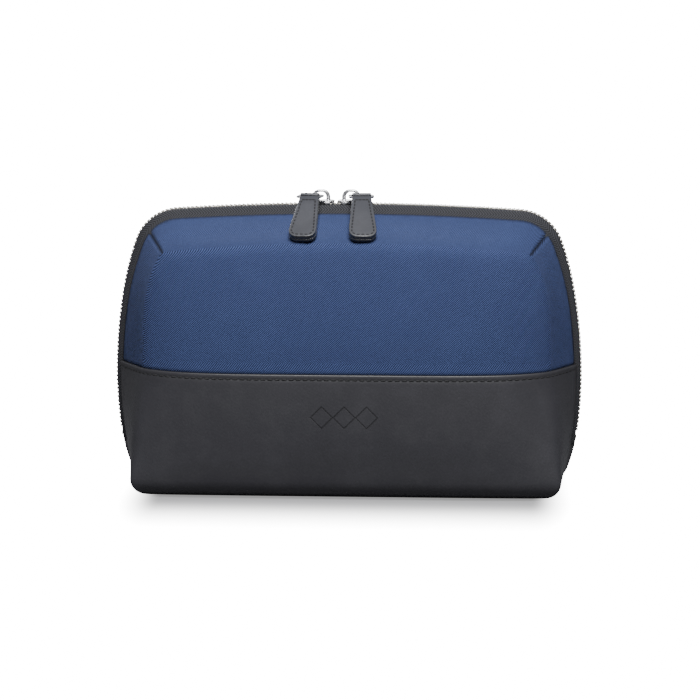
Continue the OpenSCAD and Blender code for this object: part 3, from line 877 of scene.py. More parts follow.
@dataclass(frozen=True)
class Finish:
    """What every finish has: a name, two tones and a roughness."""

    name: str
    dark: Point
    light: Point
    roughness: float = 0.6

    def start(self) -> tuple[bpy.types.Material, Graph, bpy.types.Node]:
        """A new material with its shader."""
        material = bpy.data.materials.new(self.name)
        material.use_nodes = True
        graph = Graph(material.node_tree)
        shader = material.node_tree.nodes["Principled BSDF"]
        return material, graph, shader

    def bump(
        self, graph: Graph, shader: bpy.types.Node, height: object, distance: float, strength: float = 1
    ) -> None:
        """Raises the surface by a height."""
        made = graph.node("ShaderNodeBump", Height=height, Distance=distance, Strength=strength)
        graph.feed(shader.inputs["Normal"], made.outputs[0])

    def tones(self, graph: Graph, factor: object) -> bpy.types.NodeSocket:
        """The dark tone turning to the light one."""
        return graph.mix(factor, (*self.dark, 1), (*self.light, 1))

    def in_seams(self, graph: Graph, colour: object, weight: float, tone: Point) -> bpy.types.NodeSocket:
        """Paints shade into a colour where its corners lie deep in a seam or groove.

        Args:
            graph: The material's graph.
            colour: The colour away from the seams.
            weight: How far the deepest corners turn to the tone.
            tone: The colour of the painted shade deep in a seam.

        Returns:
            The mixed colour.
        """
        painted_shade = graph.node("ShaderNodeAttribute")
        painted_shade.attribute_name = "painted_shade"
        return graph.mix(graph.math("MULTIPLY", painted_shade.outputs["Fac"], weight), colour, (*tone, 1))


@dataclass(frozen=True)
class TwillCloth(Finish):
    """Woven twill with a fuzzy surface."""

    pitch: float = 0.0012

    def make(self, fx: Effects) -> bpy.types.Material:
        """Builds the material."""
        material, g, shader = self.start()
        weave = g.group(fx.twill, Pitch=self.pitch)
        wear = g.group(fx.wear, Amount=0.35)
        tone = g.math(
            "ADD", g.math("MULTIPLY", weave.outputs["Shade"], 0.95), g.math("MULTIPLY", wear.outputs[0], 0.15)
        )
        # Painted shade: darkens the twill in seams and grooves.
        colour = self.in_seams(g, self.tones(g, tone), 0.92, (0.002, 0.003, 0.006))
        g.feed(shader.inputs["Base Color"], colour)
        g.feed(
            shader.inputs["Roughness"],
            g.ramp(weave.outputs["Height"], 0, 1, self.roughness, self.roughness - 0.1),
        )
        shader.inputs["Sheen Weight"].default_value = 0.02
        shader.inputs["Sheen Roughness"].default_value = 0.5
        shader.inputs["Specular IOR Level"].default_value = 0.12
        self.bump(g, shader, weave.outputs["Height"], 0.00026)
        return material


@dataclass(frozen=True)
class Leather(Finish):
    """Pebbled leather; it can carry the pressed ornament."""

    size: float = 0.0011
    ornament: bool = False
    coat: float = 0.0

    def make(self, fx: Effects) -> bpy.types.Material:
        """Builds the material."""
        material, g, shader = self.start()
        grain = g.group(fx.grain, Size=self.size)
        wear = g.group(fx.wear, Amount=0.5)
        tone = g.math(
            "ADD", g.math("MULTIPLY", grain.outputs["Mottle"], 0.7), g.math("MULTIPLY", wear.outputs[0], 0.5)
        )
        colour, height = self.tones(g, tone), g.math("MULTIPLY", grain.outputs["Height"], 0.3)
        if self.ornament:
            pressed = g.group(fx.mark).outputs[0]
            colour = g.mix(g.math("MULTIPLY", pressed, 0.6), colour, (*[c * 0.35 for c in self.dark], 1))
            height = g.math("SUBTRACT", height, g.math("MULTIPLY", pressed, 2.2))
        # Painted shade: darkens the leather in the stitch groove and at the lip.
        colour = self.in_seams(g, colour, 0.8, (0.003, 0.003, 0.004))
        g.feed(shader.inputs["Base Color"], colour)
        g.feed(
            shader.inputs["Roughness"],
            g.math("ADD", g.math("MULTIPLY", wear.outputs[0], 0.25), self.roughness),
        )
        shader.inputs["Coat Weight"].default_value = self.coat
        shader.inputs["Coat Roughness"].default_value = 0.25
        self.bump(g, shader, height, 0.00022)
        return material


@dataclass(frozen=True)
class EdgePaint(Finish):
    """Thick glossy paint on cut leather edges."""

    def make(self, fx: Effects) -> bpy.types.Material:
        """Builds the material."""
        material, g, shader = self.start()
        wear = g.group(fx.wear, Amount=0.6).outputs[0]
        g.feed(shader.inputs["Base Color"], self.tones(g, wear))
        g.feed(shader.inputs["Roughness"], g.math("ADD", g.math("MULTIPLY", wear, 0.2), self.roughness))
        shader.inputs["Coat Weight"].default_value = 0.6
        shader.inputs["Coat Roughness"].default_value = 0.12
        place = g.node("ShaderNodeTexCoord").outputs["Object"]
        self.bump(g, shader, g.noise(place, 700, 2), 0.00015)
        return material


@dataclass(frozen=True)
class Tape(Finish):
    """Herringbone zip tape."""

    def make(self, fx: Effects) -> bpy.types.Material:
        """Builds the material."""
        material, g, shader = self.start()
        height = g.group(fx.herringbone).outputs[0]
        g.feed(shader.inputs["Base Color"], self.tones(g, height))
        g.feed(shader.inputs["Roughness"], g.ramp(height, 0, 1, self.roughness, self.roughness - 0.15))
        self.bump(g, shader, height, 0.00022)
        return material


@dataclass(frozen=True)
class Metal(Finish):
    """Plated die-cast metal with fine handling marks."""

    def make(self, fx: Effects) -> bpy.types.Material:
        """Builds the material."""
        material, g, shader = self.start()
        wear = g.group(fx.wear, Amount=0.8).outputs[0]
        g.feed(shader.inputs["Base Color"], self.tones(g, g.math("SUBTRACT", 1.0, wear)))
        g.feed(shader.inputs["Roughness"], g.math("ADD", g.math("MULTIPLY", wear, 0.25), self.roughness))
        shader.inputs["Metallic"].default_value = 1.0
        place = g.node("ShaderNodeTexCoord").outputs["Object"]
        self.bump(g, shader, g.noise(place, 1800, 3), 0.00004)
        return material


@dataclass(frozen=True)
class Thread(Finish):
    """Twisted sewing thread."""

    def make(self, fx: Effects) -> bpy.types.Material:
        """Builds the material."""
        material, g, shader = self.start()
        place = g.node("ShaderNodeTexCoord").outputs["Object"]
        split = g.node("ShaderNodeSeparateXYZ", Vector=place)
        lay = g.math("ADD", split.outputs[0], g.math("ADD", split.outputs[1], split.outputs[2]))
        ply = g.math(
            "ADD", g.math("MULTIPLY", g.math("SINE", g.math("MULTIPLY", lay, math.tau / 0.0005)), 0.5), 0.5
        )
        g.feed(shader.inputs["Base Color"], self.tones(g, ply))
        g.feed(shader.inputs["Roughness"], g.ramp(ply, 0, 1, self.roughness, self.roughness - 0.1))
        self.bump(g, shader, ply, 0.00008)
        return material


@dataclass(frozen=True)
class Soft(Finish):
    """Foam or stiff board: fine open cells or fibres."""

    cell: float = 0.0008

    def make(self, fx: Effects) -> bpy.types.Material:
        """Builds the material."""
        material, g, shader = self.start()
        place = g.node("ShaderNodeTexCoord").outputs["Object"]
        cells = g.node("ShaderNodeTexVoronoi", Vector=place, Scale=1 / self.cell).outputs["Distance"]
        g.feed(shader.inputs["Base Color"], self.tones(g, cells))
        g.feed(shader.inputs["Roughness"], g.ramp(cells, 0, 1, self.roughness - 0.1, self.roughness))
        self.bump(g, shader, cells, 0.0002)
        return material


@dataclass
class Palette:
    """All the finishes of the bag, by what they are on."""

    fx: Effects

    def __post_init__(self) -> None:
        """Makes each material."""
        fx = self.fx
        self.navy = TwillCloth(
            "navy_twill", (0.001, 0.0018, 0.007), (0.066, 0.096, 0.236), 0.9, 0.0012
        ).make(fx)
        self.lining = TwillCloth("grey_lining", (0.10, 0.10, 0.11), (0.2, 0.2, 0.215), 0.85, 0.0007).make(fx)
        leather = ((0.019, 0.0186, 0.0225), (0.033, 0.0324, 0.038))
        self.wrap = Leather("wrap_leather", *leather, 0.46).make(fx)
        self.wrap_front = Leather("wrap_leather_pressed", *leather, 0.46, ornament=True).make(fx)
        self.pull = Leather(
            "pull_leather", (0.027, 0.028, 0.034), (0.053, 0.055, 0.065), 0.42, 0.0007, coat=0.12
        ).make(fx)
        self.paint = EdgePaint("edge_paint", (0.03, 0.031, 0.034), (0.06, 0.06, 0.066), 0.22).make(fx)
        self.tape = Tape("zip_tape", (0.002, 0.002, 0.0028), (0.031, 0.032, 0.040), 0.9).make(fx)
        self.binding = Tape("seam_binding", (0.015, 0.015, 0.018), (0.05, 0.05, 0.056), 0.9).make(fx)
        self.silver = Metal("polished_metal", (0.42, 0.42, 0.43), (0.72, 0.72, 0.73), 0.22).make(fx)
        self.tooth = Metal("tooth_metal", (0.28, 0.265, 0.235), (0.56, 0.535, 0.48), 0.3).make(fx)
        self.thread = Thread("black_thread", (0.002, 0.002, 0.003), (0.01, 0.01, 0.012), 0.75).make(fx)
        self.foam = Soft("padding_foam", (0.24, 0.24, 0.25), (0.42, 0.42, 0.43), 0.95).make(fx)
        self.board = Soft("stiff_board", (0.16, 0.12, 0.08), (0.34, 0.27, 0.19), 0.9, 0.0016).make(fx)


# ---------------------------------------------------------------- the bag's pieces


def dress(obj: bpy.types.Object, slot: str, *materials: bpy.types.Material) -> bpy.types.Object:
    """Gives a piece its finishes."""
    for material in materials:
        obj.data.materials.append(material)
    return obj


def fold_along(obj: bpy.types.Object) -> None:
    """Bakes a soft piece's placement into its mesh."""
    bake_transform(obj)


def flat_area(obj: bpy.types.Object) -> float:
    """Half of a thin piece's surface, which is its cloth's area."""
    return sum(p.area for p in obj.data.polygons) / 2


def capsule(length: float, width: float, height: float) -> tuple[np.ndarray, list]:
    """A long rounded bead along X, such as one stitch.

    Args:
        length: Size along X.
        width: Size along Y.
        height: Size along Z.

    Returns:
        Corners and faces.
    """
    rings, k = [], 8
    for x, r in ((-1.0, 0.3), (-0.9, 0.72), (-0.72, 1.0), (0.72, 1.0), (0.9, 0.72), (1.0, 0.3)):
        a = np.linspace(0, 2 * math.pi, k, endpoint=False)
        rings.append(
            np.stack([np.full(k, x * length / 2), np.cos(a) * r * width / 2, np.sin(a) * r * height / 2], 1)
        )
    faces = [
        [i * k + b, (i + 1) * k + b, (i + 1) * k + (b + 1) % k, i * k + (b + 1) % k][::-1]
        for i in range(5)
        for b in range(k)
    ]
    faces += [list(range(k))[::-1], [5 * k + b for b in range(k)]]
    return np.vstack(rings), faces


def frame_at(origin: Sequence[float], along: np.ndarray, up: np.ndarray) -> Matrix:
    """A matrix that takes X to along and Z to up, at an origin."""
    x = Vector(along).normalized()
    y = Vector(up).cross(x).normalized()
    z = x.cross(y)
    m = Matrix((x, y, z)).transposed().to_4x4()
    m.translation = Vector(origin)
    return m


@dataclass
class Wall:
    """One padded wall: fabric upper, leather wrap, foam, lining and what is sewn to them."""

    side: Side
    skin: WallSkin
    palette: Palette
    fabric_t: float = 1.0 * MM
    foam_in: float = 3.4 * MM
    lining_in: float = 4.0 * MM
    stitch_pitch: float = 4.0 * MM
    stitch_length: float = 2.8 * MM
    stitch_drop: float = 2.9 * MM
    thread_width: float = 1.0 * MM
    thread_height: float = 0.6 * MM
    thread_sink: float = 0.02 * MM
    made: list[bpy.types.Object] = field(default_factory=list)

    def _covers(self, *zones: Zone) -> np.ndarray:
        """Which quads lie in the zones."""
        return np.isin(self.skin.zones, [z.value for z in zones])

    def _keep(self, obj: bpy.types.Object, *nodes: str) -> bpy.types.Object:
        """Bakes a finished piece's placement and lets it stand for its nodes."""
        fold_along(obj)
        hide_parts(*nodes)
        self.made.append(obj)
        return obj

    def _below_edge(self) -> np.ndarray:
        """Distance of every corner below the wrap's top edge."""
        return self.skin.form.wrap_top - self.skin.points[:, 2]

    def upper(self) -> None:
        """The twill upper, turned under at the tape and tucked under the wrap's lip."""
        skin, down = self.skin, self._below_edge()
        turn = np.clip(1 - skin.seam_gap / (1.1 * MM), 0, 1)
        outer = 0.85 * MM * (1 - np.sqrt(1 - np.minimum(turn, 0.98) ** 2))
        outer += 0.95 * MM * np.clip(1 - skin.dart_gap / (1.2 * MM), 0, 1)
        outer += 0.4 * MM * smooth_step(-down, 1.6 * MM, 0.0)
        inner = np.maximum(outer + 0.15 * MM, self.fabric_t)
        zone = self._covers(Zone.UPPER)
        tuck = self._covers(Zone.WRAP) & (down[skin.quads].max(axis=1) < 3.4 * MM)
        # Painted shade: the twill is darkened along the dart, beside the tape's seam and where it tucks under
        # the wrap's lip.
        painted_shade = np.clip(1 - skin.dart_gap / (1.3 * MM), 0, 1) ** 0.7
        painted_shade = np.maximum(painted_shade, 0.8 * np.clip(1 - skin.seam_gap / (0.9 * MM), 0, 1))
        painted_shade = np.maximum(painted_shade, np.clip(1 + down / (1.0 * MM), 0, 1))
        obj = skin.cut(f"{self.side.word}_upper_twill", self.side, zone | tuck, outer, inner, painted_shade)
        dress(obj, "navy_fabric", self.palette.navy)
        self._keep(obj, f"{self.side.word}_upper_panel")

    def wrap(self) -> None:
        """The leather wrap of this wall and its half of the base, with its raised lip."""
        skin, down = self.skin, self._below_edge()
        form = skin.form
        outer = np.full(len(skin.points), -form.proud)
        lip = np.clip(1 - np.abs(down) / (0.85 * MM), 0, 0.985)
        outer += 0.75 * MM * (1 - np.sqrt(1 - lip**2))
        # Painted shade: darkens the leather in the groove along the stitch row and over the lip's top edge,
        # where the rounded lip would otherwise catch the light.
        dark = np.clip(1 - np.abs(down - self.stitch_drop) / (1.0 * MM), 0, 1) * 0.6
        dark = np.maximum(dark, np.clip(1 - down / (0.5 * MM), 0, 1))
        outer += 0.22 * MM * np.clip(1 - np.abs(down - self.stitch_drop) / (0.8 * MM), 0, 1)
        outer -= 0.35 * MM * smooth_step(-down, -6 * MM, -0.5 * MM) * smooth_step(
            np.abs(skin.points[:, 0]), 0.09, 0.118
        )
        ridge = (skin.points[:, 2] > form.turn * 0.6) & (skin.points[:, 2] < form.fold + 1e-5)
        outer += 0.55 * MM * ridge * np.clip(1 - skin.middle_gap / (1.3 * MM), 0, 1)
        inner = np.where(down < 5 * MM, 0.30 * MM, self.fabric_t)
        zones = self._covers(Zone.UNDER, Zone.WRAP)
        obj = skin.cut(f"{self.side.word}_leather_wrap", self.side, zones, outer, inner, dark)
        finish = self.palette.wrap_front if self.side is Side.FRONT else self.palette.wrap
        dress(obj, "black_leather", finish)
        self._keep(obj, f"{self.side.word}_leather_band", "base_leather")

    def padding(self) -> None:
        """The foam, the lining and the binding over the tape's seam."""
        skin, word = self.skin, self.side.word
        everywhere = np.ones(len(skin.quads), bool)
        near = skin.seam_gap[skin.quads].max(axis=1) < 4.6 * MM
        n = len(skin.points)
        foam = skin.cut(
            f"{word}_foam_pad", self.side, ~near, np.full(
                n, self.fabric_t + 0.02 * MM
            ), np.full(n, self.foam_in)
        )
        dress(foam, "foam", self.palette.foam)
        self._keep(foam, f"{word}_foam", "base_foam")
        lining = skin.cut(
            f"{word}_lining_cloth", self.side, ~near, np.full(
                n, self.foam_in + 0.02 * MM
            ), np.full(n, self.lining_in)
        )
        dress(lining, "lining_fabric", self.palette.lining)
        self._keep(lining, f"{word}_lining", "base_lining")
        bound = near & self._covers(Zone.UPPER, Zone.WRAP)
        bound |= (skin.seam_gap[skin.quads].max(axis=1) < 7.5 * MM) & self._covers(Zone.UPPER)
        tape_side = np.where(skin.seam_gap < 3.2 * MM, 2.2 * MM, 4.05 * MM)
        binding = skin.cut(f"{word}_bound_seam", self.side, bound, tape_side, tape_side + 0.7 * MM)
        dress(binding, "binding", self.palette.binding)
        self._keep(binding, f"{word}_seam_binding")

    def stitching(self) -> None:
        """The row of stitches along the wrap's top edge."""
        skin, form = self.skin, self.skin.form
        height = form.wrap_top - self.stitch_drop
        on_row = np.abs(skin.points[:, 2] - height) < 0.05 * MM
        on_row &= skin.seam_gap > 1.0 * MM
        pts, nrm = skin.points[on_row], skin.normals[on_row]
        order = np.argsort(np.arctan2(pts[:, 0], -pts[:, 1] + 0.02))
        pts, nrm = pts[order], nrm[order]
        run = np.concatenate([[0], np.cumsum(np.linalg.norm(np.diff(pts, axis=0), axis=1))])
        count = int((run[-1] - 4 * MM) / self.stitch_pitch)
        first = (run[-1] - (count - 1) * self.stitch_pitch) / 2
        parts, lift = [], form.proud - self.thread_sink
        for i in range(count):
            q = first + i * self.stitch_pitch
            p = np.array([np.interp(q, run, pts[:, k]) for k in range(3)])
            ahead = np.array([np.interp(q + 0.5 * MM, run, pts[:, k]) for k in range(3)])
            out = unit_rows(np.array([np.interp(q, run, nrm[:, k]) for k in range(3)]))
            p = p + out * lift
            part = capsule(self.stitch_length, self.thread_width, self.thread_height)
            parts.append(moved(part, frame_at(p, ahead - p + out * lift, out)))
        obj = new_mesh(f"{self.side.word}_wrap_stitches", *for_side(self.side, *joined(parts)))
        dress(obj, "thread", self.palette.thread)
        self._keep(obj, f"{self.side.word}_band_stitching")

    def pocket(self) -> None:
        """The slip pocket inside the rear wall, with its hem."""
        skin = self.skin
        low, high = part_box("inner_pocket")
        hem_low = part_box("pocket_hem")[0][2]
        middle = skin.points[skin.quads].mean(axis=1)
        inside = (middle[:, 2] > low[2]) & (middle[:, 2] < high[2]) & (np.abs(middle[:, 0]) < high[0])
        inside &= (skin.seam_gap[skin.quads].min(axis=1) > 0.15) & self._covers(Zone.WRAP, Zone.UPPER)
        n = len(skin.points)
        start = self.lining_in + 0.05 * MM
        cloth = skin.cut("slip_pocket", self.side, inside, np.full(n, start), np.full(n, start + 0.6 * MM))
        dress(cloth, "lining_fabric", self.palette.lining)
        self._keep(cloth, "inner_pocket")
        edge = inside & (middle[:, 2] > hem_low)
        hem = skin.cut(
            "slip_pocket_hem", self.side, edge, np.full(n, start + 0.6 * MM), np.full(n, start + 1.2 * MM)
        )
        dress(hem, "lining_fabric", self.palette.lining)
        self._keep(hem, "pocket_hem")

    def build(self) -> list[bpy.types.Object]:
        """Makes every piece of the wall."""
        self.upper()
        self.wrap()
        self.padding()
        self.stitching()
        if self.side is Side.REAR:
            self.pocket()
        return self.made


@dataclass
class ZipHalf:
    """One side's tape and teeth."""

    side: Side
    line: ZipLine
    palette: Palette
    pitch: float = 2.5 * MM
    tooth_t: float = 1.05 * MM
    low: float = 33.5 * MM
    meet: float = -7.0 * MM
    part_by: float = 1.5 * MM
    part_reach: float = 9.8 * MM
    part_run: float = 6 * MM

    def place(self, q: float) -> tuple[np.ndarray, np.ndarray, np.ndarray]:
        """Point of the zip line at a length from the top centre, with its direction and outward normal."""
        angle, arc = self.line.at_length(abs(q))
        x, z = self.line.place(angle, arc)
        a, s = math.radians(angle), 1.0 if q >= 0 else -1.0
        return (
            np.array([s * x, 0.0, z]),
            np.array([math.cos(a), 0.0, -s * math.sin(a)]),
            np.array([s * math.sin(a), 0.0, math.cos(a)]),
        )

    def tape(self) -> bpy.types.Object:
        """The tape, from under the fabric to beside the teeth."""
        reach = self.line.length_to(25 * MM)
        hidden = [(-9.6, -6.1), (-8.2, -5.6), (-7.0, -4.4), (-6.0, -2.7)]
        shown = [(-5.2, -1.1), (-4.5, -0.25), (-3.7, 0.0), (-1.25, 0.0)]
        section = np.array(hidden + shown) * MM
        run = np.concatenate([[0], np.cumsum(np.linalg.norm(np.diff(section, axis=0), axis=1))])
        off = np.gradient(section, axis=0)
        off = unit_rows(np.stack([-off[:, 1], off[:, 0]], 1)) * 0.4 * MM
        ring = np.vstack([section + off, (section - off)[::-1]])
        laid = np.concatenate([run, run[::-1]])
        stations = np.linspace(-reach, reach, 401)
        points, n = [], len(ring)
        for q in stations:
            at, _, up = self.place(float(q))
            for y, z in ring:
                points.append(at + np.array([0, y, 0]) + up * z)
        faces, uv = [], []
        for i in range(len(stations) - 1):
            for b in range(n):
                c = (b + 1) % n
                faces.append([i * n + b, i * n + c, (i + 1) * n + c, (i + 1) * n + b][::-1])
                here, ahead = stations[i], stations[i + 1]
                uv.extend([(ahead, laid[b]), (ahead, laid[c]), (here, laid[c]), (here, laid[b])])
        faces.append(list(range(n)))
        faces.append([(len(stations) - 1) * n + b for b in range(n)][::-1])
        uv.extend([(0, 0)] * (2 * n))
        points, faces = for_side(self.side, np.array(points), faces)
        obj = new_mesh(f"{self.side.word}_tape", points, faces, np.array(uv, float))
        dress(obj, "zip_tape", self.palette.tape)
        fold_along(obj)
        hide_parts(f"{self.side.word}_zip_tape")
        return obj

    def teeth(self) -> bpy.types.Object:
        """The row of teeth, parting under the sliders."""
        profile = [(-2.9, -1.3), (-0.5, -1.45), (0.55, -0.7), (0.55, 0.7), (-0.5, 1.45), (-2.9, 1.3)]
        tooth = bevelled_prism(
            [(y * MM, n * MM) for y, n in profile], -self.tooth_t / 2, self.tooth_t / 2, 0.22 * MM
        )
        end = self.line.length_to(self.low)
        count = int(end / self.pitch)
        parts = []
        for i in range(-count, count + 1):
            q = (i + (0.5 if self.side is Side.REAR else 0.0)) * self.pitch
            if abs(q) > end:
                continue
            at, along, up = self.place(q)
            apart = self.part_by * float(
                smooth_step(self.part_reach - abs(at[0] - self.meet), 0, self.part_run)
            )
            m = Matrix.Identity(4)
            y = np.array([0.0, 1.0, 0.0])
            for k, axis in enumerate((y, up, along)):
                m.col[k] = (*axis, 0.0)
            m.translation = Vector(at - y * apart)
            parts.append(moved(tooth, m))
        obj = new_mesh(f"{self.side.word}_teeth_row", *for_side(self.side, *joined(parts)))
        dress(obj, "zip_metal", self.palette.tooth)
        fold_along(obj)
        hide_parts(f"{self.side.word}_zip_teeth")
        return obj


@dataclass
class Hardware:
    """One slider with its crown, ring and folded leather pull."""

    sign: int
    line: ZipLine
    palette: Palette
    meet: float = -7.0 * MM
    nose_gap: float = 0.8 * MM
    length: float = 13.5 * MM
    ring_at: float = 13.7 * MM
    pivot: float = 5.0 * MM
    turn: float = 4.0
    slope: float = 36.0
    slack: float = 0.0
    skew: float = 0.0

    @property
    def word(self) -> str:
        """Which of the two it is."""
        return "left" if self.sign < 0 else "right"

    def slider_frame(self) -> Matrix:
        """Where the slider's own axes lie."""
        nose = self.meet + self.sign * self.nose_gap
        x = abs(nose + self.sign * self.length / 2)
        z = self.line.place(*self.line.at_offset(x))[1]
        return Matrix.Translation((nose, 0, z)) @ Matrix.Diagonal((self.sign, 1, 1, 1))

    def ring_frame(self) -> Matrix:
        """Where the ring's own axes lie."""
        nose = self.meet + self.sign * self.nose_gap
        z = self.slider_frame().translation.z + self.pivot
        centre = Matrix.Translation((nose + self.sign * self.ring_at, 0, z))
        return centre @ Matrix.Rotation(math.radians(self.turn), 4, "Z")

    def _metal(self, name: str, points: np.ndarray, faces: list, body: str, node: str) -> bpy.types.Object:
        """Makes a polished piece of this slider.

        Args:
            name: The piece's name, without the slider's word.
            points: Its corners.
            faces: Its faces.
            body: The body it rides on, without the slider's word.
            node: The node it stands for, without the slider's word.

        Returns:
            The piece.
        """
        obj = new_mesh(f"{self.word}_{name}", points, faces)
        dress(obj, "zip_metal", self.palette.silver)
        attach(obj, f"{self.word}_{body}")
        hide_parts(f"{self.word}_{node}")
        return obj

    def slider(self) -> bpy.types.Object:
        """The slider's two plates with their turned-in flanges and divider."""
        half = [
            (0, 1.9),
            (0.5, 3.1),
            (1.3, 4.2),
            (2.4, 4.9),
            (5.4, 5.0),
            (7.2, 4.5),
            (9, 3.95),
            (12.6, 3.9),
            (13.3, 3.5),
            (13.5, 2.8),
        ]
        shape = [(x * MM, -y * MM) for x, y in half] + [(x * MM, y * MM) for x, y in half[::-1]]
        parts = [
            bevelled_prism(shape, 1.7 * MM, 2.6 * MM, 0.3 * MM, 3),
            bevelled_prism(shape, -2.6 * MM, -1.7 * MM, 0.3 * MM, 3),
        ]
        rail = [
            (2.6, 4.0), (5.4, 4.05), (9, 3.0), (12.4, 2.95), (12.4, 3.85), (9, 3.9), (5.4, 4.95), (2.6, 4.9)
        ]
        for s in (1, -1):
            side = [(x * MM, s * y * MM) for x, y in rail][::s]
            for low, high in ((0.6, 1.8), (-1.8, -0.6)):
                parts.append(bevelled_prism(side, low * MM, high * MM, 0.15 * MM))
        post = [(0.3, -0.7), (3.4, -0.7), (5, -0.15), (5, 0.15), (3.4, 0.7), (0.3, 0.7)]
        parts.append(bevelled_prism([(x * MM, y * MM) for x, y in post], -1.75 * MM, 1.75 * MM, 0.1 * MM))
        points, faces = moved(joined(parts), self.slider_frame())
        return self._metal("slider_shell", points, faces, "slider", "slider_body")

    def crown(self) -> bpy.types.Object:
        """The bridge that the ring hangs from."""
        low, high, thick, r = 2.5, 6.3, 1.7, 3.6
        x0, x1, top = 2.9 + thick / 2, 13.3 - thick / 2, 2.6 + high - thick / 2
        path = [(x0, low), (x0, 3.9)]
        for a in np.linspace(180, 90, 9):
            path.append((x0 + r + r * math.cos(math.radians(a)), top - r + r * math.sin(math.radians(a))))
        for a in np.linspace(90, 0, 9):
            path.append((x1 - r + r * math.cos(math.radians(a)), top - r + r * math.sin(math.radians(a))))
        path += [(x1, 3.9), (x1, low)]
        line = np.array([(x, 0, z) for x, z in path]) * MM
        ahead = unit_rows(np.gradient(line, axis=0))
        across = np.repeat([[0.0, 1.0, 0.0]], len(line), axis=0)
        up = np.cross(ahead, across)
        outline = round_outline(2.6 * MM, thick * MM, 0.7 * MM)
        flare = 1 + 0.5 * np.clip(1 - (line[:, 2] / MM - 2.5) / 2.5, 0, 1)
        heel = 1 + 0.5 * np.clip(1 - (line[:, 0] / MM - 3.5) / 3.5, 0, 1)
        sets = outline[None] * np.stack([flare, heel], 1)[:, None, :]
        points, faces = moved(swept(line, across, up, sets, False), self.slider_frame())
        return self._metal("crown_arch", points, faces, "slider", "slider_crown")

    def ring(self) -> bpy.types.Object:
        """The rectangular wire ring."""
        half, front, rear, bend = 6.75, -8.0, 2.6, 1.8
        path = []
        for cx, cy, start in ((half, rear, 0), (-half, rear, 90), (-half, front, 180), (half, front, 270)):
            mx, my = cx - math.copysign(bend, cx), cy - math.copysign(bend, cy)
            for a in np.linspace(start, start + 90, 9):
                path.append((mx + bend * math.cos(math.radians(a)), my + bend * math.sin(math.radians(a)), 0))
        line = np.array(path) * MM
        ahead = unit_rows(np.roll(line, -1, axis=0) - np.roll(line, 1, axis=0))
        up = np.repeat([[0.0, 0.0, 1.0]], len(line), axis=0)
        a = np.linspace(0, 2 * math.pi, 16, endpoint=False)
        circle = np.stack([np.cos(a), np.sin(a)], 1) * 0.75 * MM
        part = swept(line, np.cross(ahead, up), up, circle, True)
        points, faces = moved(part, self.ring_frame())
        return self._metal("wire_ring", points, [f[::-1] for f in faces], "pull_ring", "ring")

    def _outline(self, inset: float, start: float) -> list[tuple[float, float]]:
        """The pull's outline seen from above, in millimetres."""
        half, tip, r = 7.8 - inset, 35.0 - inset, 5.0 - inset
        left = [(-5.5 + inset, -start), (-half, -(tip - r - 2))]
        bend = np.radians(np.arange(0, 91, 11.25))
        left += [(-half + r * (1 - math.cos(a)), -(tip - r) - r * math.sin(a)) for a in bend]
        return left + [(-x, y) for x, y in left[::-1]]

    def pull(self) -> list[bpy.types.Object]:
        """The pull: leather folded round the ring's bar, its painted core and its stitches."""
        t, core = 1.5, 0.6
        place = self.ring_frame() @ Matrix.Translation((self.slack, -8 * MM, 0))
        place = place @ Matrix.Rotation(math.radians(self.skew), 4, "Z") @ Matrix.Rotation(
            math.radians(self.slope), 4, "X"
        )
        plate = [(x * MM, y * MM) for x, y in self._outline(0, 0.9)]
        parts = [
            bevelled_prism(plate, core * MM, (core + t) * MM, 0.42 * MM, 3),
            bevelled_prism(plate, -(core + t) * MM, -core * MM, 0.42 * MM, 3),
        ]
        a = np.radians(np.linspace(112, -112, 25))
        mid = (1.15 + t / 2) * MM
        line = np.stack([np.zeros_like(a), mid * np.cos(a), mid * np.sin(a)], 1)
        out = unit_rows(line)
        across = np.repeat([[1.0, 0.0, 0.0]], len(a), axis=0)
        fold = swept(line, across, out, round_outline(11 * MM, t * MM, 0.42 * MM), False)
        parts.append((fold[0], [f[::-1] for f in fold[1]]))
        points, faces = joined(parts)
        leather = new_mesh(f"{self.word}_pull_fold", *moved((points, faces), place))
        dress(leather, "pull_leather", self.palette.pull, self.palette.paint)
        facing = (place.to_3x3() @ Vector((0, 0, 1))).normalized()
        side_way = (place.to_3x3() @ Vector((1, 0, 0))).normalized()
        for polygon in leather.data.polygons:
            local = place.inverted() @ polygon.center
            flat = local.y > -0.9 * MM and abs(polygon.normal.dot(side_way)) < 0.75
            polygon.material_index = 0 if flat or abs(polygon.normal.dot(facing)) > 0.93 else 1
        core_part = bevelled_prism(
            [(x * MM, y * MM) for x, y in self._outline(0.25, 4.5)], -0.62 * MM, 0.62 * MM, 0.1 * MM
        )
        filler = new_mesh(f"{self.word}_pull_core", *moved(core_part, place))
        dress(filler, "pull_leather", self.palette.paint)
        stitches = []
        outline = np.array(self._outline(1.6, 4.6))
        run = np.concatenate([[0], np.cumsum(np.linalg.norm(np.diff(outline, axis=0), axis=1))])
        rows = [(outline, run, round(run[-1] / 2.7))]
        cross = np.array([(-4.0, -4.4), (4.0, -4.4)])
        rows.append((cross, np.array([0, 8.0]), 4))
        for pts, length, count in rows:
            for i in range(count):
                q = (i + 0.5) * length[-1] / count
                p = [np.interp(q, length, pts[:, k]) * MM for k in (0, 1)]
                n = [np.interp(q + 0.2, length, pts[:, k]) * MM for k in (0, 1)]
                for z in (1, -1):
                    m = frame_at(
                        (p[0], p[1], z * (core + t) * MM),
                        np.array([n[0] - p[0], n[1] - p[1], 0]),
                        np.array([0, 0, 1.0]),
                    )
                    stitches.append(moved(capsule(1.8 * MM, 0.85 * MM, 0.5 * MM), m))
        thread = new_mesh(f"{self.word}_pull_stitches", *moved(joined(stitches), place))
        dress(thread, "thread", self.palette.thread)
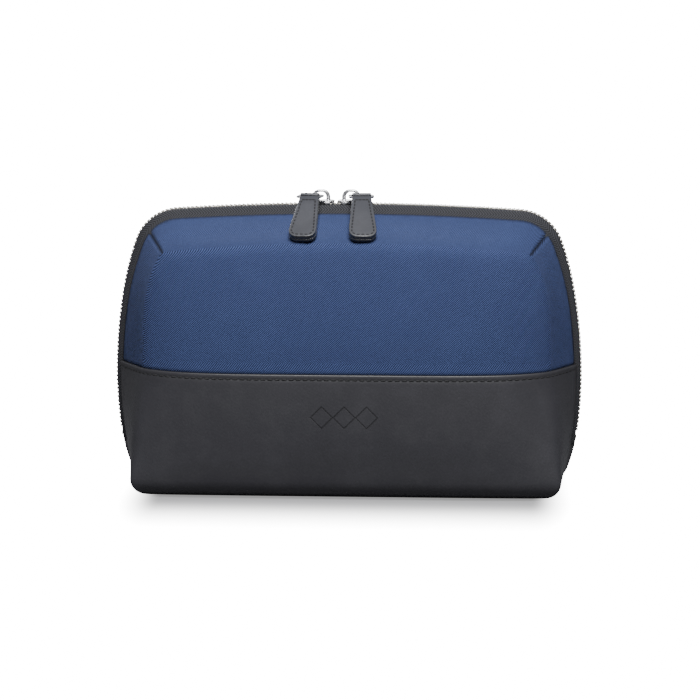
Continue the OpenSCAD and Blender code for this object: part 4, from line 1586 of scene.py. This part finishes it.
        for obj, node in ((leather, "pull_leather"), (filler, "pull_filler"), (thread, "pull_stitching")):
            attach(obj, f"{self.word}_pull")
            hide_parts(f"{self.word}_{node}")
        return [leather, filler, thread]

    def build(self) -> list[bpy.types.Object]:
        """Makes every piece of the slider."""
        return [self.slider(), self.crown(), self.ring(), *self.pull()]


@dataclass
class BaseParts:
    """What stays with the base: the stiffening board and the zip's two end stops."""

    frame: dict
    palette: Palette

    def build(self) -> list[bpy.types.Object]:
        """Dresses the board and makes the stops."""
        board = self.frame["nodes"]["base_board"]
        board.data.materials.clear()
        board.data.materials.append(self.palette.board)
        made = [board]
        for word in ("left", "right"):
            low, high = (np.array(v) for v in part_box(f"{word}_zip_stop"))
            middle, size = (low + high) / 2, high - low
            part = bevelled_prism(
                [(x * size[0] / 2, y * size[1] / 2) for x, y in ((-1, -1), (1, -1), (1, 1), (-1, 1))],
                -size[2] / 2, size[2] / 2, 0.5 * MM, 3,
            )
            points = part[0] + middle
            points[:, 0] += 0.25 * MM * np.sign(middle[0]) * (np.abs(points[:, 1]) < 0.5 * MM)
            stop = new_mesh(f"{word}_end_stop", points, part[1])
            dress(stop, "zip_metal", self.palette.tooth)
            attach(stop, "base")
            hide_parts(f"{word}_zip_stop")
            made.append(stop)
        return made


# ---------------------------------------------------------------- the studio


@dataclass
class Studio:
    """Floor, light and camera."""

    azimuth: float = 2.7
    elevation: float = 10.0
    distance: float = 1.30
    lens: float = 114.0
    aim: Point = (0.0010, 0.0, 0.0793)
    # Where the floor's painted shadow lies and how far it fades.
    shade_half: tuple[float, float] = (0.105, 0.038)
    shade_fade: float = 0.105
    backdrop: float = 24.0

    def floor(self) -> None:
        """A floor that is dark to the light and glows paler to the camera away from the bag, leaving a
        painted shadow round it.
        """
        size, n = 6.0, 2
        xs = np.linspace(-size, size, n)
        points = np.array([(x, y, -0.00005) for y in xs for x in xs])
        obj = new_mesh("floor", points, [[0, 1, 3, 2]], smooth=False)
        material = bpy.data.materials.new("painted_shadow_floor")
        material.use_nodes = True
        g, shader = Graph(material.node_tree), material.node_tree.nodes["Principled BSDF"]
        place = g.node("ShaderNodeTexCoord").outputs["Object"]
        split = g.node("ShaderNodeSeparateXYZ", Vector=place)
        dx = g.math(
            "MAXIMUM", g.math("SUBTRACT", g.math("ABSOLUTE", split.outputs[0]), self.shade_half[0]), 0.0
        )
        dx = g.math("MULTIPLY", dx, 3.0)
        dy = g.math(
            "MAXIMUM", g.math("SUBTRACT", g.math("ABSOLUTE", split.outputs[1]), self.shade_half[1]), 0.0
        )
        away = g.math("SQRT", g.math("ADD", g.math("MULTIPLY", dx, dx), g.math("MULTIPLY", dy, dy)))
        tone = g.noise(place, 14, 2)
        g.feed(shader.inputs["Base Color"], g.mix(tone, (0.11, 0.11, 0.12, 1), (0.12, 0.12, 0.13, 1)))
        shader.inputs["Roughness"].default_value = 0.9
        seen = g.node("ShaderNodeLightPath").outputs["Is Camera Ray"]
        # Painted shadow: no glow within shade_half of the bag's middle, rising to the full backdrop glow
        # shade_fade beyond it.
        glow = g.math(
            "ADD",
            g.math("MULTIPLY", g.math("POWER", g.ramp(away, 0.0, self.shade_fade), 1.7), self.backdrop),
            0.36,
        )
        shader.inputs["Emission Color"].default_value = (1, 1, 1, 1)
        g.feed(shader.inputs["Emission Strength"], g.math("MULTIPLY", glow, seen))
        obj.data.materials.append(material)

    def light(self, name: str, at: Point, target: Point, size: tuple[float, float], power: float) -> None:
        """One soft area light."""
        data = bpy.data.lights.new(name, "AREA")
        data.shape, data.size, data.size_y, data.energy = "RECTANGLE", size[0], size[1], power
        obj = bpy.data.objects.new(name, data)
        obj.location = at
        obj.rotation_euler = (Vector(target) - Vector(at)).to_track_quat("-Z", "Y").to_euler()
        bpy.context.scene.collection.objects.link(obj)

    def lights(self) -> None:
        """A broad light from above, soft ones from the front and the rear, and a dim room."""
        self.light("high_light", (0.1, -0.72, 1.15), (0, 0, 0.08), (0.6, 0.5), 36)
        self.light("front_light", (0.3, -1.9, 0.6), (0, 0, 0.1), (0.6, 0.4), 1.5)
        self.light("rear_light", (-0.5, 1.5, 1.0), (0, 0, 0.08), (1.0, 0.6), 26)
        world = bpy.data.worlds.new("pale_room")
        bpy.context.scene.world = world
        world.use_nodes = True
        g = Graph(world.node_tree)
        back = world.node_tree.nodes["Background"]
        back.inputs["Color"].default_value = (0.93, 0.95, 1.0, 1)
        seen = g.node("ShaderNodeLightPath").outputs["Is Camera Ray"]
        glossy = g.node("ShaderNodeLightPath").outputs["Is Glossy Ray"]
        lit = g.math("ADD", g.math("MULTIPLY", glossy, 0.33), 0.018)
        g.feed(back.inputs["Strength"], g.math("ADD", g.math("MULTIPLY", seen, self.backdrop), lit))

    def camera(self) -> None:
        """The camera, looking at the bag's front from a little above."""
        data = bpy.data.cameras.new("camera")
        data.lens, data.sensor_width = self.lens, 36.0
        obj = bpy.data.objects.new("camera", data)
        a, e = math.radians(self.azimuth), math.radians(self.elevation)
        way = Vector((math.sin(a) * math.cos(e), -math.cos(a) * math.cos(e), math.sin(e)))
        obj.location = Vector(self.aim) + way * self.distance
        obj.rotation_euler = (-way).to_track_quat("-Z", "Y").to_euler()
        bpy.context.scene.collection.objects.link(obj)
        bpy.context.scene.camera = obj

    def build(self) -> None:
        """Sets everything up."""
        self.camera()
        self.floor()
        self.lights()


def main(frame: dict) -> None:
    """Builds the bag piece by piece.

    Args:
        frame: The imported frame.
    """
    logging.basicConfig(level=logging.INFO, format="%(name)s: %(message)s")
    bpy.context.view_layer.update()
    Studio().build()
    palette = Palette(Effects())
    form = BagForm()
    skin = WallSkin(form)
    LOG.info("skin of %d corners", len(skin.points))
    made: list[bpy.types.Object] = []
    for side in Side:
        made += Wall(side, skin, palette).build()
        half = ZipHalf(side, form.line, palette)
        made += [half.tape(), half.teeth()]
    made += Hardware(-1, form.line, palette, turn=-9.0, slack=1.1 * MM, skew=2.6).build()
    made += Hardware(1, form.line, palette, turn=4.0).build()
    made += BaseParts(frame, palette).build()
    for obj in made:
        LOG.info("%s: %d faces, %.1f cm2", obj.name, len(obj.data.polygons), flat_area(obj) * 1e4)


if __name__ == "__main__":
    main(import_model())
